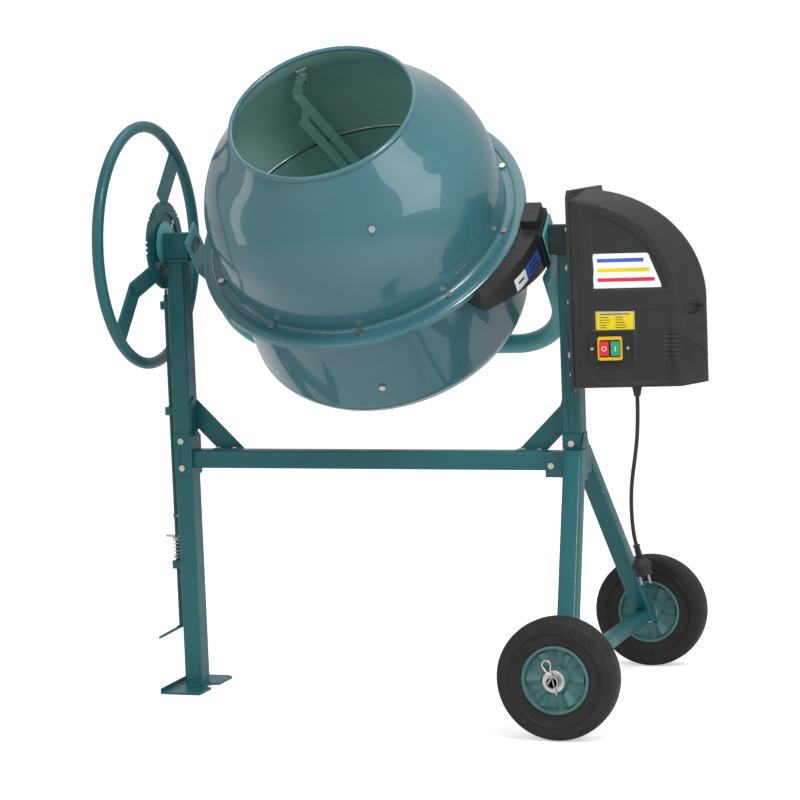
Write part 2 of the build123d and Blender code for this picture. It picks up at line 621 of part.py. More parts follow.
def make_pinion():
    """Spur pinion on the tilt axis, meshing with the crown ring above it."""
    pitch_r = GEAR_MODULE * PINION_TEETH / 2
    base_r = pitch_r * math.cos(PRESSURE)
    root_r = pitch_r - 1.25 * GEAR_MODULE
    half_pitch = math.pi / 2 / PINION_TEETH - BACKLASH / 2 / pitch_r + involute(pitch_r, base_r)
    radii = [root_r, base_r, base_r + 2, pitch_r + 1.5, PINION_TIP_R]
    flank = [(r, half_pitch - involute(r, base_r)) for r in radii]
    outline = []
    for tooth in range(PINION_TEETH):
        middle = 2 * math.pi * tooth / PINION_TEETH
        for r, half in flank:
            outline.append((r * math.cos(middle - half), r * math.sin(middle - half)))
        for r, half in reversed(flank):
            outline.append((r * math.cos(middle + half), r * math.sin(middle + half)))
    gear = extrude(make_face(Polyline(*outline, close=True)), PINION_W) - Cylinder(PINION_SHAFT_R, 100)
    # Laid on the axis, the gear's own -X looks up, so half a turn puts a tooth there.
    save("pinion_gear", in_drum(Pos(PINION_X, 0, 0) * Rot(0, 90, 0) * Rot(0, 0, 180) * gear))
    shaft_end = BELT_X + BELT_W + 6
    shaft = Cylinder(PINION_SHAFT_R, shaft_end - PINION_X + 4, align=UP)
    save("pinion_shaft", on_tilt_axis(shaft, PINION_X - 4))
    pulley = tube(PULLEY_R, 24, BELT_W + 2) - Pos(0, 0, 5) * tube(PULLEY_R - 8, 30, BELT_W)
    pulley += tube(25, PINION_SHAFT_R, BELT_W + 4)
    save("driven_pulley", on_tilt_axis(pulley, BELT_X - 1))


def belt_area(gap):
    """Area inside a line that runs round both pulleys at a distance, in the (Y, Z) plane."""
    big, small = PULLEY_R + gap, MOTOR_PULLEY_R + gap
    down = (big - small) / (TILT_Z - MOTOR_Z)
    side = math.sqrt(1 - down ** 2)
    upper = (big * side, TILT_Z - big * down)
    lower = (small * side, MOTOR_Z - small * down)
    lines = [Line(lower, upper), ThreePointArc(upper, (0, TILT_Z + big), (-upper[0], upper[1])),
             Line((-upper[0], upper[1]), (-lower[0], lower[1])),
             ThreePointArc((-lower[0], lower[1]), (0, MOTOR_Z - small), lower)]
    return make_face(lines)


def make_belt():
    belt = extrude(Plane.YZ * (belt_area(BELT_T + 0.3) - belt_area(0.3)), BELT_W)
    save("drive_belt", Pos(BELT_X, 0, 0) * belt)


def on_motor_axis(shape, x):
    return Pos(x, 0, MOTOR_Z) * Rot(0, 90, 0) * shape


def make_motor():
    bracket_x, body_x, body_r = 519, 523, 58
    body = on_motor_axis(Cylinder(body_r, 128, align=UP) - Cylinder(8 + RUNNING, 90), body_x)
    body += on_motor_axis(Cylinder(body_r - 6, 12, align=UP), body_x + 128)
    save("motor_body", body)
    bracket = block(bracket_x, body_x, -62, 62, MOTOR_Z - 60, MOTOR_Z + 60)
    bracket -= on_motor_axis(Cylinder(20, 40), bracket_x)
    post = Rot(0, 90, 0) * Cylinder(6, bracket_x - COVER_X, align=UP)
    for y in (-54, 54):
        for z in (MOTOR_Z - 52, MOTOR_Z + 52):
            bracket += Pos(COVER_X, y, z) * post
    save("motor_bracket", bracket)
    shaft = on_motor_axis(Cylinder(8, 60, align=UP), BELT_X - 4)
    pulley = on_motor_axis(tube(MOTOR_PULLEY_R, 8, BELT_W + 2), BELT_X - 1)
    save("motor_shaft", shaft, pulley)
    save("capacitor", Pos(540, 62, 880) * Rot(0, 90, 0) * Cylinder(20, 78, align=UP))


# ---- Motor cover ----
def cover_form(inset):
    """The cover's outer form, or the space inside it when inset by the wall thickness."""
    end_r, top_r = COVER_END_X - ARCH_X - inset, COVER_TOP_Z - ARCH_Z - inset
    x0 = COVER_X - (10 if inset else 0)
    bottom = COVER_BOTTOM_Z + inset
    start = math.acos((x0 - ARCH_X) / end_r)
    arch_points = []
    for k in range(7):
        turn = start * (1 - k / 6)
        arch_points.append((ARCH_X + end_r * math.cos(turn), ARCH_Z + top_r * math.sin(turn)))
    below = Polyline(arch_points[-1], (ARCH_X + end_r, bottom), (x0, bottom), arch_points[0])
    side = make_face([Spline(*arch_points), *below.edges()])
    form = Pos(0, 200, 0) * extrude(Plane.XZ * side, 400)
    slope = (COVER_Y - COVER_SIDE_Y) / (COVER_SIDE_X - COVER_X)
    y0 = COVER_Y - inset + slope * (COVER_X - x0)
    y1 = COVER_SIDE_Y - inset
    plan = make_face([Line((x0, y0), (x0, -y0)), Line((x0, -y0), (COVER_SIDE_X, -y1)),
                      ThreePointArc((COVER_SIDE_X, -y1), (COVER_END_X - inset, 0), (COVER_SIDE_X, y1)),
                      Line((COVER_SIDE_X, y1), (x0, y0))])
    return form & Pos(0, 0, COVER_BOTTOM_Z - 50) * extrude(plan, 500)


COVER_FRONT = Plane(origin=(COVER_X, -COVER_Y, 0),
                    x_dir=(COVER_SIDE_X - COVER_X, COVER_Y - COVER_SIDE_Y, 0),
                    z_dir=(COVER_Y - COVER_SIDE_Y, COVER_X - COVER_SIDE_X, 0))


def on_cover(along, z, out=0):
    """A place on the cover's flat front: distance along it, height, and distance off it."""
    return COVER_FRONT.location * Pos(along, z, out)


SWITCH_AT = (77, 764)
SWITCH_SIZE = (88, 58)
BASE_T = 8
BUTTON_SIZE = (19, 30)
BUTTON_STEP = 11.5
BUTTON_TRAVEL = 3
GLAND_AT = (608, -85)


def make_cover():
    shell = cover_form(0) - cover_form(COVER_WALL)
    shell -= Pos(*GLAND_AT, COVER_BOTTOM_Z) * Cylinder(9, 30)
    shell -= Pos(COVER_END_X, -12, 838) * Rot(0, 90, 0) * Cylinder(18, 60)
    shell -= on_cover(*SWITCH_AT) * Box(50, 40, 30)
    save("housing_cover", shell)


def make_back_plate():
    """Flat plate behind the cover, a little larger than it, with its upper corners cut."""
    half, top, low = COVER_Y + 3, COVER_TOP_Z + 3, COVER_BOTTOM_Z - 8
    outline = Polyline((-half, low), (half, low), (half, top - 14), (half - 10, top), (10 - half, top),
                       (-half, top - 14), close=True)
    plate = Pos(481, 0, 0) * extrude(Plane.YZ * make_face(outline), COVER_X - 481)
    plate -= on_tilt_axis(Cylinder(19, 40), 484)
    save("housing_back_plate", plate)


def make_housing_brackets():
    """Channels that carry the back plate on the right post, each with two ears for its bolt."""
    half, outer = GRIP / 2, POST_X + POST_W / 2
    brackets = []
    for place in HOUSING_BOLTS:
        low, high = place.position.Z - 18, place.position.Z + 18
        bracket = block(outer, 481, -half, half, low, high)
        bracket -= block(outer + 4, 477, -50, 50, low + 4, high - 4)
        for y in (-half, half - SHEET):
            bracket += block(POST_X - 8, outer, y, y + SHEET, low, high)
        brackets.append(drill(bracket, [place], FRAME_HOLE_R))
    save("housing_brackets", *brackets)


def make_housing_screws():
    """Screws from the back plate's rear face into the cover's edge, and the switch's two screws."""
    places = [(y, z) for y in (-128, 128) for z in (710, 860, 1010)] + [(-60, 1079), (60, 1079)]
    screws = [Pos(481, y, z) * Rot(0, -90, 0) * Cylinder(4.5, 3, align=UP) for y, z in places]
    along, z = SWITCH_AT
    screws += [on_cover(along + side * 37, z, BASE_T) * Cylinder(3.2, 1.8, align=UP) for side in (-1, 1)]
    save("housing_screws", *screws)


def make_switch():
    base = on_cover(*SWITCH_AT) * extrude(RectangleRounded(*SWITCH_SIZE, 5), BASE_T)
    frame = RectangleRounded(51, 49, 5) - RectangleRounded(43, 35, 3)
    bezel = on_cover(*SWITCH_AT, BASE_T) * extrude(frame, 4)
    for name, side in (("stop_button", -1), ("start_button", 1)):
        place = on_cover(SWITCH_AT[0] + side * BUTTON_STEP, SWITCH_AT[1], BUTTON_TRAVEL + 0.5)
        button = place * extrude(RectangleRounded(*BUTTON_SIZE, 2), BASE_T + 4)
        pocket = RectangleRounded(BUTTON_SIZE[0] + 0.6, BUTTON_SIZE[1] + 0.6, 2.2)
        base -= on_cover(SWITCH_AT[0] + side * BUTTON_STEP, SWITCH_AT[1]) * extrude(pocket, BASE_T)
        save(name, button)
    save("switch_base", base)
    save("switch_bezel", bezel)


LABEL_T = 0.6


def make_labels():
    left, right_top, right_low, low, high = 45, 158, 185, 887, 958
    label = Polyline((left, low), (right_low, low), (right_top + 8, high - 24), (right_top, high),
                     (left, high), close=True)
    safety = extrude(make_face(label), LABEL_T)
    rating = Pos(88, 821, 0) * extrude(RectangleRounded(82, 53, 1.5), LABEL_T)
    save("labels", COVER_FRONT.location * safety, COVER_FRONT.location * rating)


# ---- Cable ----
CABLE_R = 4.2


def make_cable():
    x, y = GLAND_AT
    gland = Pos(x, y, COVER_BOTTOM_Z - 22) * Cone(6.5, 11, 22, align=UP)
    gland += Pos(x, y, COVER_BOTTOM_Z) * Cylinder(8.9, 6, align=UP)
    gland -= Pos(x, y, COVER_BOTTOM_Z - 30) * Cylinder(CABLE_R, 60, align=UP)
    save("cable_gland", gland)
    inside, below = (x, y, COVER_BOTTOM_Z + 8), (x, y, COVER_BOTTOM_Z - 26)
    hanging = Spline(below, (x - 5, y, 560), (x - 18, y, 470), (x - 19, y, 400), (x - 12, y, 349),
                     tangents=((0, 0, -1), (0.25, 0, -1)))
    path = Wire([Line(inside, below), hanging])
    save("power_cable", sweep(Plane(origin=inside, z_dir=(0, 0, -1)) * Circle(CABLE_R), path=path))
    place = Pos(x - 12, y, 349) * Rot(0, 180 - 13, 0)
    body = tube(7.5, CABLE_R, 6) + Pos(0, 0, 26) * Cone(10, 20, 14, align=UP)
    for base, radius, height in ((6, 6, 22), (12, 8, 4), (21, 9, 5), (40, 21.5, 11), (51, 17.5, 15)):
        body += Pos(0, 0, base) * Cylinder(radius, height, align=UP)
    body -= Cylinder(CABLE_R, 5, align=UP)
    save("plug_body", place * body)
    pins = [place * Pos(dx, 0, 66) * Cylinder(2.4, 19, align=UP) for dx in (-9.5, 9.5)]
    save("plug_pins", *pins)


# ---- Pinion guard ----
GUARD_FROM, GUARD_TO = 5, -35       # angles round the drum, from behind the tilt axis to the mouth side
GUARD_TOP_H, GUARD_LOW_H = 54, -45
GUARD_IN_R = FLANGE_R + 4
GUARD_WALL = 2.5


def guard_plan(inner_r, trim):
    """Plan area of the guard: round inside, with an eccentric outer arc that narrows to the mouth side."""
    area = Pos(95, 0) * Circle(305 - trim) - Circle(inner_r)
    ends = [math.radians(angle) for angle in (GUARD_FROM - trim / 6, GUARD_TO + trim / 6)]
    far = [(600 * math.cos(angle), 600 * math.sin(angle)) for angle in ends]
    return area & make_face(Polyline((0, 0), *far, close=True))


def make_guard():
    """Moulded cover over the pinion, outside the flange, with a pocket under it."""
    flange_gap_h = FLANGE_H - LIP - 5
    outer = Pos(0, 0, GUARD_LOW_H) * extrude(guard_plan(GUARD_IN_R, 0), GUARD_TOP_H - GUARD_LOW_H)
    outer += Pos(0, 0, GUARD_LOW_H) * extrude(guard_plan(320, 0), flange_gap_h - 5 - GUARD_LOW_H)
    floor_h = GUARD_LOW_H + GUARD_WALL
    roof_h = GUARD_TOP_H - GUARD_WALL
    inner = Pos(0, 0, floor_h) * extrude(guard_plan(GUARD_IN_R - 10, GUARD_WALL), roof_h - floor_h)
    inner += Pos(0, 0, floor_h) * extrude(guard_plan(300, GUARD_WALL) & Circle(GUARD_IN_R), 60 - floor_h)
    slant = Polyline((0, GUARD_LOW_H - 1), (-330, GUARD_LOW_H - 1), (-330, 34), (-215, 4),
                     (-50, GUARD_LOW_H), close=True)
    guard = outer - inner - Pos(200, 0, 0) * extrude(Plane.YZ * make_face(slant), 250)
    # Raised box over the pinion, and the pad that screws to the yoke's flattened end.
    box = extrude(guard_plan(GUARD_IN_R + 3, 0) & Pos(380, 0) * Rectangle(80, 56), 22)
    guard += Pos(0, 0, GUARD_TOP_H - 0.1) * box
    guard += block(397, 402, -44, 38, -50, GUARD_TOP_H - 4)
    guard -= Pos(300, 0, 0) * Rot(0, 90, 0) * Cylinder(TRUNNION_R + 2, 150, align=UP)
    gear_space = Cylinder(PINION_TIP_R + 2, PINION_W + 4, align=UP)
    guard -= Pos(PINION_X - 2, 0, 0) * Rot(0, 90, 0) * gear_space
    save("pinion_guard", in_drum(guard))


# ---- Pedal lock ----
SPRING_LOW, SPRING_HIGH = 290, 335
SPRING_R, SPRING_WIRE_R = 10, 1.2
TAB_Z, TAB_W, TAB_T = SPRING_HIGH + 4, 10, 4
BAR_BOLT_Z = 385


def make_guides():
    """Loops on the post that the pedal bar slides in."""
    half_x, half_y = BAR_T / 2 + 1, BAR_W / 2 + 1
    channel = block(BAR_X - half_x, BAR_X + half_x, -half_y, half_y, 0, TILT_Z)
    loops = [block(BAR_X - 9, -POST_X - POST_W / 2, -15, 15, z - 9, z + 9) for z in GUIDE_ZS]
    save("pedal_guides", *[loop - channel for loop in loops])


def make_pedal():
    """Bar up the post with a lock tongue at the top and a bent foot pad at the bottom."""
    low, tongue_z = 137, TILT_Z - DISC_R - LOCK_TIP_GAP
    half_t = BAR_T / 2
    bar = block(BAR_X - half_t, BAR_X + half_t, -BAR_W / 2, BAR_W / 2, low, tongue_z - 12)
    bar += block(BAR_X - half_t, BAR_X + half_t, -2, 2, tongue_z - 12, tongue_z)
    pad_end = Vector(-528, 0, low - 24)
    knee = Vector(BAR_X - half_t, 0, low)
    pad = Polyline((knee.X, low), (pad_end.X, pad_end.Z), (pad_end.X + 2, pad_end.Z - BAR_T),
                   (BAR_X + half_t, low - 4), (BAR_X + half_t, low + 2), (knee.X, low + 2), close=True)
    bar += Pos(0, 22, 0) * extrude(Plane.XZ * make_face(pad), 44)
    bar -= Pos(BAR_X, 0, TAB_Z) * Box(40, TAB_W, TAB_T)
    bar -= Pos(BAR_X, 0, BAR_BOLT_Z) * Rot(0, 90, 0) * Cylinder(3, 40)
    save("pedal_bar", bar)
    # The spring pushes on a washer under a flat cross tab; a bolt stops the bar at its guide.
    tab = block(-506, BAR_X + 8, -TAB_W / 2, TAB_W / 2, TAB_Z - TAB_T / 2, TAB_Z + TAB_T / 2)
    washer = Pos(BAR_X, 0, SPRING_HIGH + 0.2) * tube(11.4, 8.8, 1.2)
    bar_bolt = Pos(BAR_X - half_t, 0, BAR_BOLT_Z) * Rot(0, -90, 0) * bolt(3, 10, 12, nut_at=BAR_T)
    save("pedal_hardware", tab, washer, bar_bolt)


def make_spring():
    """Compression spring round the bar between the lowest guide and the pin."""
    turns = 6
    height = SPRING_HIGH - SPRING_LOW - 2 * SPRING_WIRE_R - 1
    coil = Helix(height / turns, height, SPRING_R)
    wire = sweep(Plane(origin=coil @ 0, z_dir=coil % 0) * Circle(SPRING_WIRE_R), path=coil, is_frenet=True)
    save("return_spring", Pos(BAR_X, 0, SPRING_LOW + SPRING_WIRE_R + 0.3) * wire)


# ---- Build ----
os.makedirs("parts", exist_ok=True)
make_posts()
make_foot()
make_beam()
make_beam_brackets()
make_braces()
make_frame_fasteners()
make_stand()
make_axle()
make_wheels()
make_hairpin_clips()
make_bearings()
make_yoke()
make_trunnions()
make_notched_disc()
make_tilt_wheel()
make_spindle_housing()
make_yoke_bearings()
make_drum_spindle()
make_upper_drum()
make_lower_drum()
make_ring_gear()
make_blades()
make_drum_bolts()
make_pinion()
make_belt()
make_motor()
make_cover()
make_back_plate()
make_housing_brackets()
make_housing_screws()
make_switch()
make_labels()
make_cable()
make_guard()
make_guides()
make_pedal()
make_spring()
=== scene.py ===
import json
import math
import random

import bmesh
import bpy
from mathutils import Matrix, Vector
from mathutils.kdtree import KDTree


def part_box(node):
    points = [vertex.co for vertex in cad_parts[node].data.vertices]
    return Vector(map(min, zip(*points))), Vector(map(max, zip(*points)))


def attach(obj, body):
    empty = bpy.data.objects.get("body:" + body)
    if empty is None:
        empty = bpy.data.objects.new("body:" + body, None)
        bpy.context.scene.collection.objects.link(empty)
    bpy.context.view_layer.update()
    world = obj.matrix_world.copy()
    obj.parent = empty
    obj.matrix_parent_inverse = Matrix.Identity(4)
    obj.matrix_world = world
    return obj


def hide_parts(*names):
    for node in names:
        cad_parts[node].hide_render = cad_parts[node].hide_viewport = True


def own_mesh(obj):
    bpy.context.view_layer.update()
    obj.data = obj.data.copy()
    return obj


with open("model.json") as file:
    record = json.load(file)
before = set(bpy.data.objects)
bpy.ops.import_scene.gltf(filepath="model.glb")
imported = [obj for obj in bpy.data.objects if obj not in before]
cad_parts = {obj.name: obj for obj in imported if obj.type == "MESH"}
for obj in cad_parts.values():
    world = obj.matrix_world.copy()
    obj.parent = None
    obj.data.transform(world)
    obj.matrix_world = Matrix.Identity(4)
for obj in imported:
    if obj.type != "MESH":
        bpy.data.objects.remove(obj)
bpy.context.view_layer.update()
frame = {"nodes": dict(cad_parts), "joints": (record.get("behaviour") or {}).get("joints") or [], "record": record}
NODES = frame["nodes"]
JOINTS = {joint["name"]: joint for joint in frame["joints"]}

# Machine frame, in millimetres: X along the tilt axis, zero under the drum; Y away from the mouth; Z up.
TILT = Vector(JOINTS["tilt"]["pos_m"])
DRUM_AXIS = Vector(JOINTS["drum_spin"]["axis"])
LEAN = math.atan2(-DRUM_AXIS.y, DRUM_AXIS.z)
MM = Matrix.Scale(0.001, 4)
MACHINE = Matrix.Translation((TILT.x, 0, 0)) @ MM
# Drum frame, in millimetres: Z along the drum's axis, zero where it crosses the tilt axis.
DRUM = Matrix.Translation(TILT) @ Matrix.Rotation(LEAN, 4, "X") @ MM

DRUM_TEAL = (0.034, 0.128, 0.155)
INSIDE_GREEN = (0.320, 0.540, 0.510)
FRAME_TEAL = (0.008, 0.098, 0.112)
YOKE_TEAL = (0.072, 0.310, 0.335)
CHARCOAL = (0.020, 0.0195, 0.019)


# ---- Materials ----
def add(tree, kind, inputs=None, **settings):
    """A node with its settings and its input values."""
    made = tree.nodes.new(kind)
    for key, value in settings.items():
        setattr(made, key, value)
    for key, value in (inputs or {}).items():
        made.inputs[key].default_value = value
    return made


def link(tree, source, output, target, socket):
    """Join a node's output to another node's input."""
    tree.links.new(source.outputs[output], target.inputs[socket])


def new_material(name):
    """An empty node material: itself, its tree and its shader."""
    material = bpy.data.materials.new(name)
    material.use_nodes = True
    tree = material.node_tree
    return material, tree, tree.nodes["Principled BSDF"]


def noise_node(tree, scale, detail=4, roughness=0.55):
    """Noise in the object's own coordinates."""
    place = add(tree, "ShaderNodeTexCoord")
    made = add(tree, "ShaderNodeTexNoise", {"Scale": scale, "Detail": detail, "Roughness": roughness})
    link(tree, place, "Object", made, "Vector")
    return made


def spread(tree, source, output, low, high, from_low=0.3, from_high=0.7):
    """Map a texture's middle range to a range of values."""
    made = add(tree, "ShaderNodeMapRange", {"From Min": from_low, "From Max": from_high,
                                            "To Min": low, "To Max": high})
    link(tree, source, output, made, "Value")
    return made


def mix_colour(tree, factor, factor_output, first, second):
    """Mix two colours, each a value or a node with a colour output."""
    made = add(tree, "ShaderNodeMix", data_type="RGBA")
    tree.links.new(factor.outputs[factor_output], made.inputs["Factor"])
    for socket, colour in ((made.inputs[6], first), (made.inputs[7], second)):
        if isinstance(colour, tuple):
            socket.default_value = (*colour, 1)
        else:
            tree.links.new(colour, socket)
    return made.outputs[2]


def shade(colour, factor):
    """A lighter or darker version of a colour."""
    return tuple(min(1.0, channel * factor) for channel in colour)


def edge_mask(tree, radius):
    """One on convex and concave edges, zero on flats."""
    rounded = add(tree, "ShaderNodeBevel", {"Radius": radius}, samples=4)
    flat = add(tree, "ShaderNodeNewGeometry")
    dot = add(tree, "ShaderNodeVectorMath", operation="DOT_PRODUCT")
    link(tree, rounded, "Normal", dot, 0)
    link(tree, flat, "Normal", dot, 1)
    return spread(tree, dot, "Value", 1, 0, 0.75, 0.985)


def bump(tree, shader, source, output, distance):
    """Raise the surface by a texture, by at most a distance in metres."""
    made = add(tree, "ShaderNodeBump", {"Distance": distance, "Strength": 1.0})
    link(tree, source, output, made, "Height")
    link(tree, made, "Normal", shader, "Normal")


def pale_edges_wear_and_highlight(tree, shader, body, pale, radius, patches, edge_wear_and_highlight, low, high):
    """Colour the shader with a body colour that turns pale in patches along the edges: part wear, part painted
    highlight.
    """
    edges = edge_mask(tree, radius)
    pale_share = add(tree, "ShaderNodeMath", operation="MULTIPLY")
    link(tree, edges, "Result", pale_share, 0)
    link(tree, spread(tree, patches, "Fac", 0, edge_wear_and_highlight, low, high), "Result", pale_share, 1)
    top = mix_colour(tree, pale_share, "Value", body, pale)
    tree.links.new(top, shader.inputs["Base Color"])


def paint(name, colour, roughness=0.35, coat=0.3, peel=0.00012, peel_scale=420, edge_wear_and_highlight=0.25, grime=0.25,
          shine=0.3):
    """Sprayed paint: slow colour drift, orange peel, paler edges (part wear, part painted highlight) and dust in
    the drift.
    """
    material, tree, shader = new_material(name)
    drift = noise_node(tree, 5, 6)
    body = mix_colour(tree, spread(tree, drift, "Fac", 0, 1), "Result", shade(colour, 1 - 0.3 * grime),
                      shade(colour, 1 + 0.3 * grime))
    chip_and_highlight_patches = noise_node(tree, 160, 5, 0.7)
    # Pale patches along the edges: part wear, part painted highlight.
    pale_edges_wear_and_highlight(tree, shader, body, shade(colour, 2.6), 0.0012, chip_and_highlight_patches, edge_wear_and_highlight, 0.42, 0.62)
    rough = noise_node(tree, 22, 5)
    link(tree, spread(tree, rough, "Fac", roughness * 0.8, roughness * 1.25), "Result", shader, "Roughness")
    shader.inputs["Coat Weight"].default_value = coat
    shader.inputs["Coat Roughness"].default_value = 0.05
    shader.inputs["Specular IOR Level"].default_value = shine
    bump(tree, shader, noise_node(tree, peel_scale, 2), "Fac", peel)
    return material


def metal(name, colour, roughness=0.3, brushed=(1, 1, 1), tint=(0.75, 0.68, 0.5)):
    """Plated or machined metal with fine scratches and a faint tint."""
    material, tree, shader = new_material(name)
    place = add(tree, "ShaderNodeTexCoord")
    stretch = add(tree, "ShaderNodeMapping", {"Scale": brushed})
    scratch = add(tree, "ShaderNodeTexNoise", {"Scale": 600, "Detail": 6, "Roughness": 0.7})
    link(tree, place, "Object", stretch, "Vector")
    link(tree, stretch, "Vector", scratch, "Vector")
    patches = noise_node(tree, 60, 3)
    body = mix_colour(tree, spread(tree, patches, "Fac", 0, 0.5), "Result", colour,
                      tuple(a * b for a, b in zip(colour, tint)))
    tree.links.new(body, shader.inputs["Base Color"])
    shader.inputs["Metallic"].default_value = 1
    link(tree, spread(tree, scratch, "Fac", roughness * 0.6, roughness * 1.5), "Result", shader, "Roughness")
    bump(tree, shader, scratch, "Fac", 0.00003)
    return material


def moulded(name, colour, roughness=0.5, grain=0.00008, grain_scale=900, edge_wear_and_highlight=0.2, shine=0.3):
    """Moulded plastic with a fine spark-eroded grain and paler edges (part scuffs, part painted highlight)."""
    material, tree, shader = new_material(name)
    drift = noise_node(tree, 9, 5)
    body = mix_colour(tree, spread(tree, drift, "Fac", 0, 1), "Result", shade(colour, 0.88),
                      shade(colour, 1.15))
    scuff_and_highlight_patches = noise_node(tree, 90, 6, 0.7)
    # Pale patches along the edges: part scuffs, part painted highlight.
    pale_edges_wear_and_highlight(tree, shader, body, shade(colour, 3.0), 0.001, scuff_and_highlight_patches, edge_wear_and_highlight, 0.4, 0.65)
    shader.inputs["Specular IOR Level"].default_value = shine
    link(tree, spread(tree, noise_node(tree, 35, 4), "Fac", roughness * 0.85, roughness * 1.15), "Result",
         shader, "Roughness")
    bump(tree, shader, noise_node(tree, grain_scale, 2), "Fac", grain)
    return material


def rubber(name, colour, roughness=0.65):
    """Rubber with a dusty bloom and a slightly rough skin."""
    material, tree, shader = new_material(name)
    bloom = noise_node(tree, 14, 6, 0.65)
    body = mix_colour(tree, spread(tree, bloom, "Fac", 0, 1, 0.35, 0.75), "Result", colour,
                      tuple(channel * 1.5 + 0.006 for channel in colour))
    tree.links.new(body, shader.inputs["Base Color"])
    shader.inputs["Specular IOR Level"].default_value = 0.3
    link(tree, spread(tree, noise_node(tree, 60, 4), "Fac", roughness * 0.85, roughness * 1.15), "Result",
         shader, "Roughness")
    bump(tree, shader, noise_node(tree, 700, 3), "Fac", 0.0001)
    return material


def make_materials():
    """Every material of the machine, by look."""
    return {
        "drum": paint("drum_paint_gloss", DRUM_TEAL, 0.34, 0.8, 0.00002, 160, edge_wear_and_highlight=0, grime=0.15),
        "inside": paint("drum_inside", INSIDE_GREEN, 0.5, 0.1, 0.00015, 500, edge_wear_and_highlight=0.2, grime=0.4),
        "frame": paint("frame_powder_coat", FRAME_TEAL, 0.42, 0.2),
        "yoke": paint("yoke_powder_coat", YOKE_TEAL, 0.36, 0.3),
        "zinc": metal("zinc_plate", (0.62, 0.61, 0.60), 0.32),
        "steel": metal("bright_steel", (0.45, 0.45, 0.46), 0.35, (1, 1, 0.05), (0.9, 0.85, 0.75)),
        "dark": paint("black_coat", (0.018, 0.026, 0.028), 0.45, 0.1),
        "iron": metal("cast_gear", (0.16, 0.155, 0.15), 0.55, (1, 1, 1), (0.7, 0.55, 0.4)),
        "tyre": rubber("tyre_rubber", (0.011, 0.0105, 0.010)),
        "rim": moulded("rim_plastic", (0.062, 0.150, 0.152), 0.4),
        "cover": moulded("cover_plastic", CHARCOAL, 0.5, 0.00012, 700),
        "guard": moulded("guard_plastic", (0.022, 0.022, 0.022), 0.45),
        "belt": rubber("belt_rubber", (0.012, 0.012, 0.012), 0.6),
        "cable": rubber("cable_sheath", (0.016, 0.016, 0.016), 0.5),
        "motor": paint("motor_paint", (0.07, 0.07, 0.075), 0.4, 0.2),
        "capacitor": moulded("capacitor_shell", (0.5, 0.5, 0.5), 0.35),
        "switch": moulded("switch_black", (0.016, 0.016, 0.016), 0.4),
        "yellow": moulded("switch_yellow", (0.72, 0.42, 0.006), 0.35),
        "red": moulded("button_red", (0.60, 0.03, 0.04), 0.3),
        "green": moulded("button_green", (0.02, 0.32, 0.16), 0.3),
        "white_film": moulded("label_white", (0.74, 0.78, 0.84), 0.3, 0.00002),
        "yellow_film": moulded("label_yellow", (0.66, 0.52, 0.004), 0.3, 0.00002),
        "blue_film": moulded("label_blue", (0.05, 0.10, 0.45), 0.3, 0.00002),
        "red_film": moulded("label_red", (0.60, 0.03, 0.05), 0.3, 0.00002),
        "black_film": moulded("label_black", (0.02, 0.02, 0.025), 0.3, 0.00002),
    }


MAT = make_materials()
LOOKS = {
    "frame_paint": "frame", "yoke_paint": "yoke", "drum_paint": "drum", "zinc": "zinc", "steel": "steel",
    "dark_steel": "dark", "gear_iron": "iron", "tyre": "tyre", "rim_plastic": "rim", "cover_plastic": "cover",
    "guard_plastic": "guard", "belt_rubber": "belt", "cable_rubber": "cable", "motor_paint": "motor",
    "capacitor_plastic": "capacitor", "switch_black": "switch", "switch_yellow": "yellow",
    "button_red": "red", "button_green": "green", "label_yellow": "yellow_film",
}
# Parts whose look differs from the rest of their slot.
OWN_LOOKS = {"tilt_wheel_rim": "frame", "tilt_wheel_spokes": "frame", "notched_disc": "frame",
             "mixing_blades": "inside", "trunnions": "frame"}
SHARP_NODES = ("ring_gear", "return_spring", "labels")
EDGE_WIDTHS = {"left_foot": 0.0005, "frame_fasteners": 0.0006, "drum_bolts": 0.0006}


def dress_cad_nodes():
    """Give each CAD node its material and soften its hard edges."""
    slots = {part["node"]: part["material_slot"] for part in frame["record"]["subparts"]}
    for name, shape in NODES.items():
        shape.data.materials.clear()
        shape.data.materials.append(MAT[OWN_LOOKS.get(name, LOOKS[slots[name]])])
        weld = shape.modifiers.new("weld", "WELD")
        weld.merge_threshold = 0.00002
        if name in SHARP_NODES:
            continue
        bevel = shape.modifiers.new("edge", "BEVEL")
        bevel.width = EDGE_WIDTHS.get(name, 0.0007)
        bevel.segments = 2
        bevel.limit_method = "ANGLE"
        bevel.angle_limit = math.radians(35)
        bevel.harden_normals = True


dress_cad_nodes()


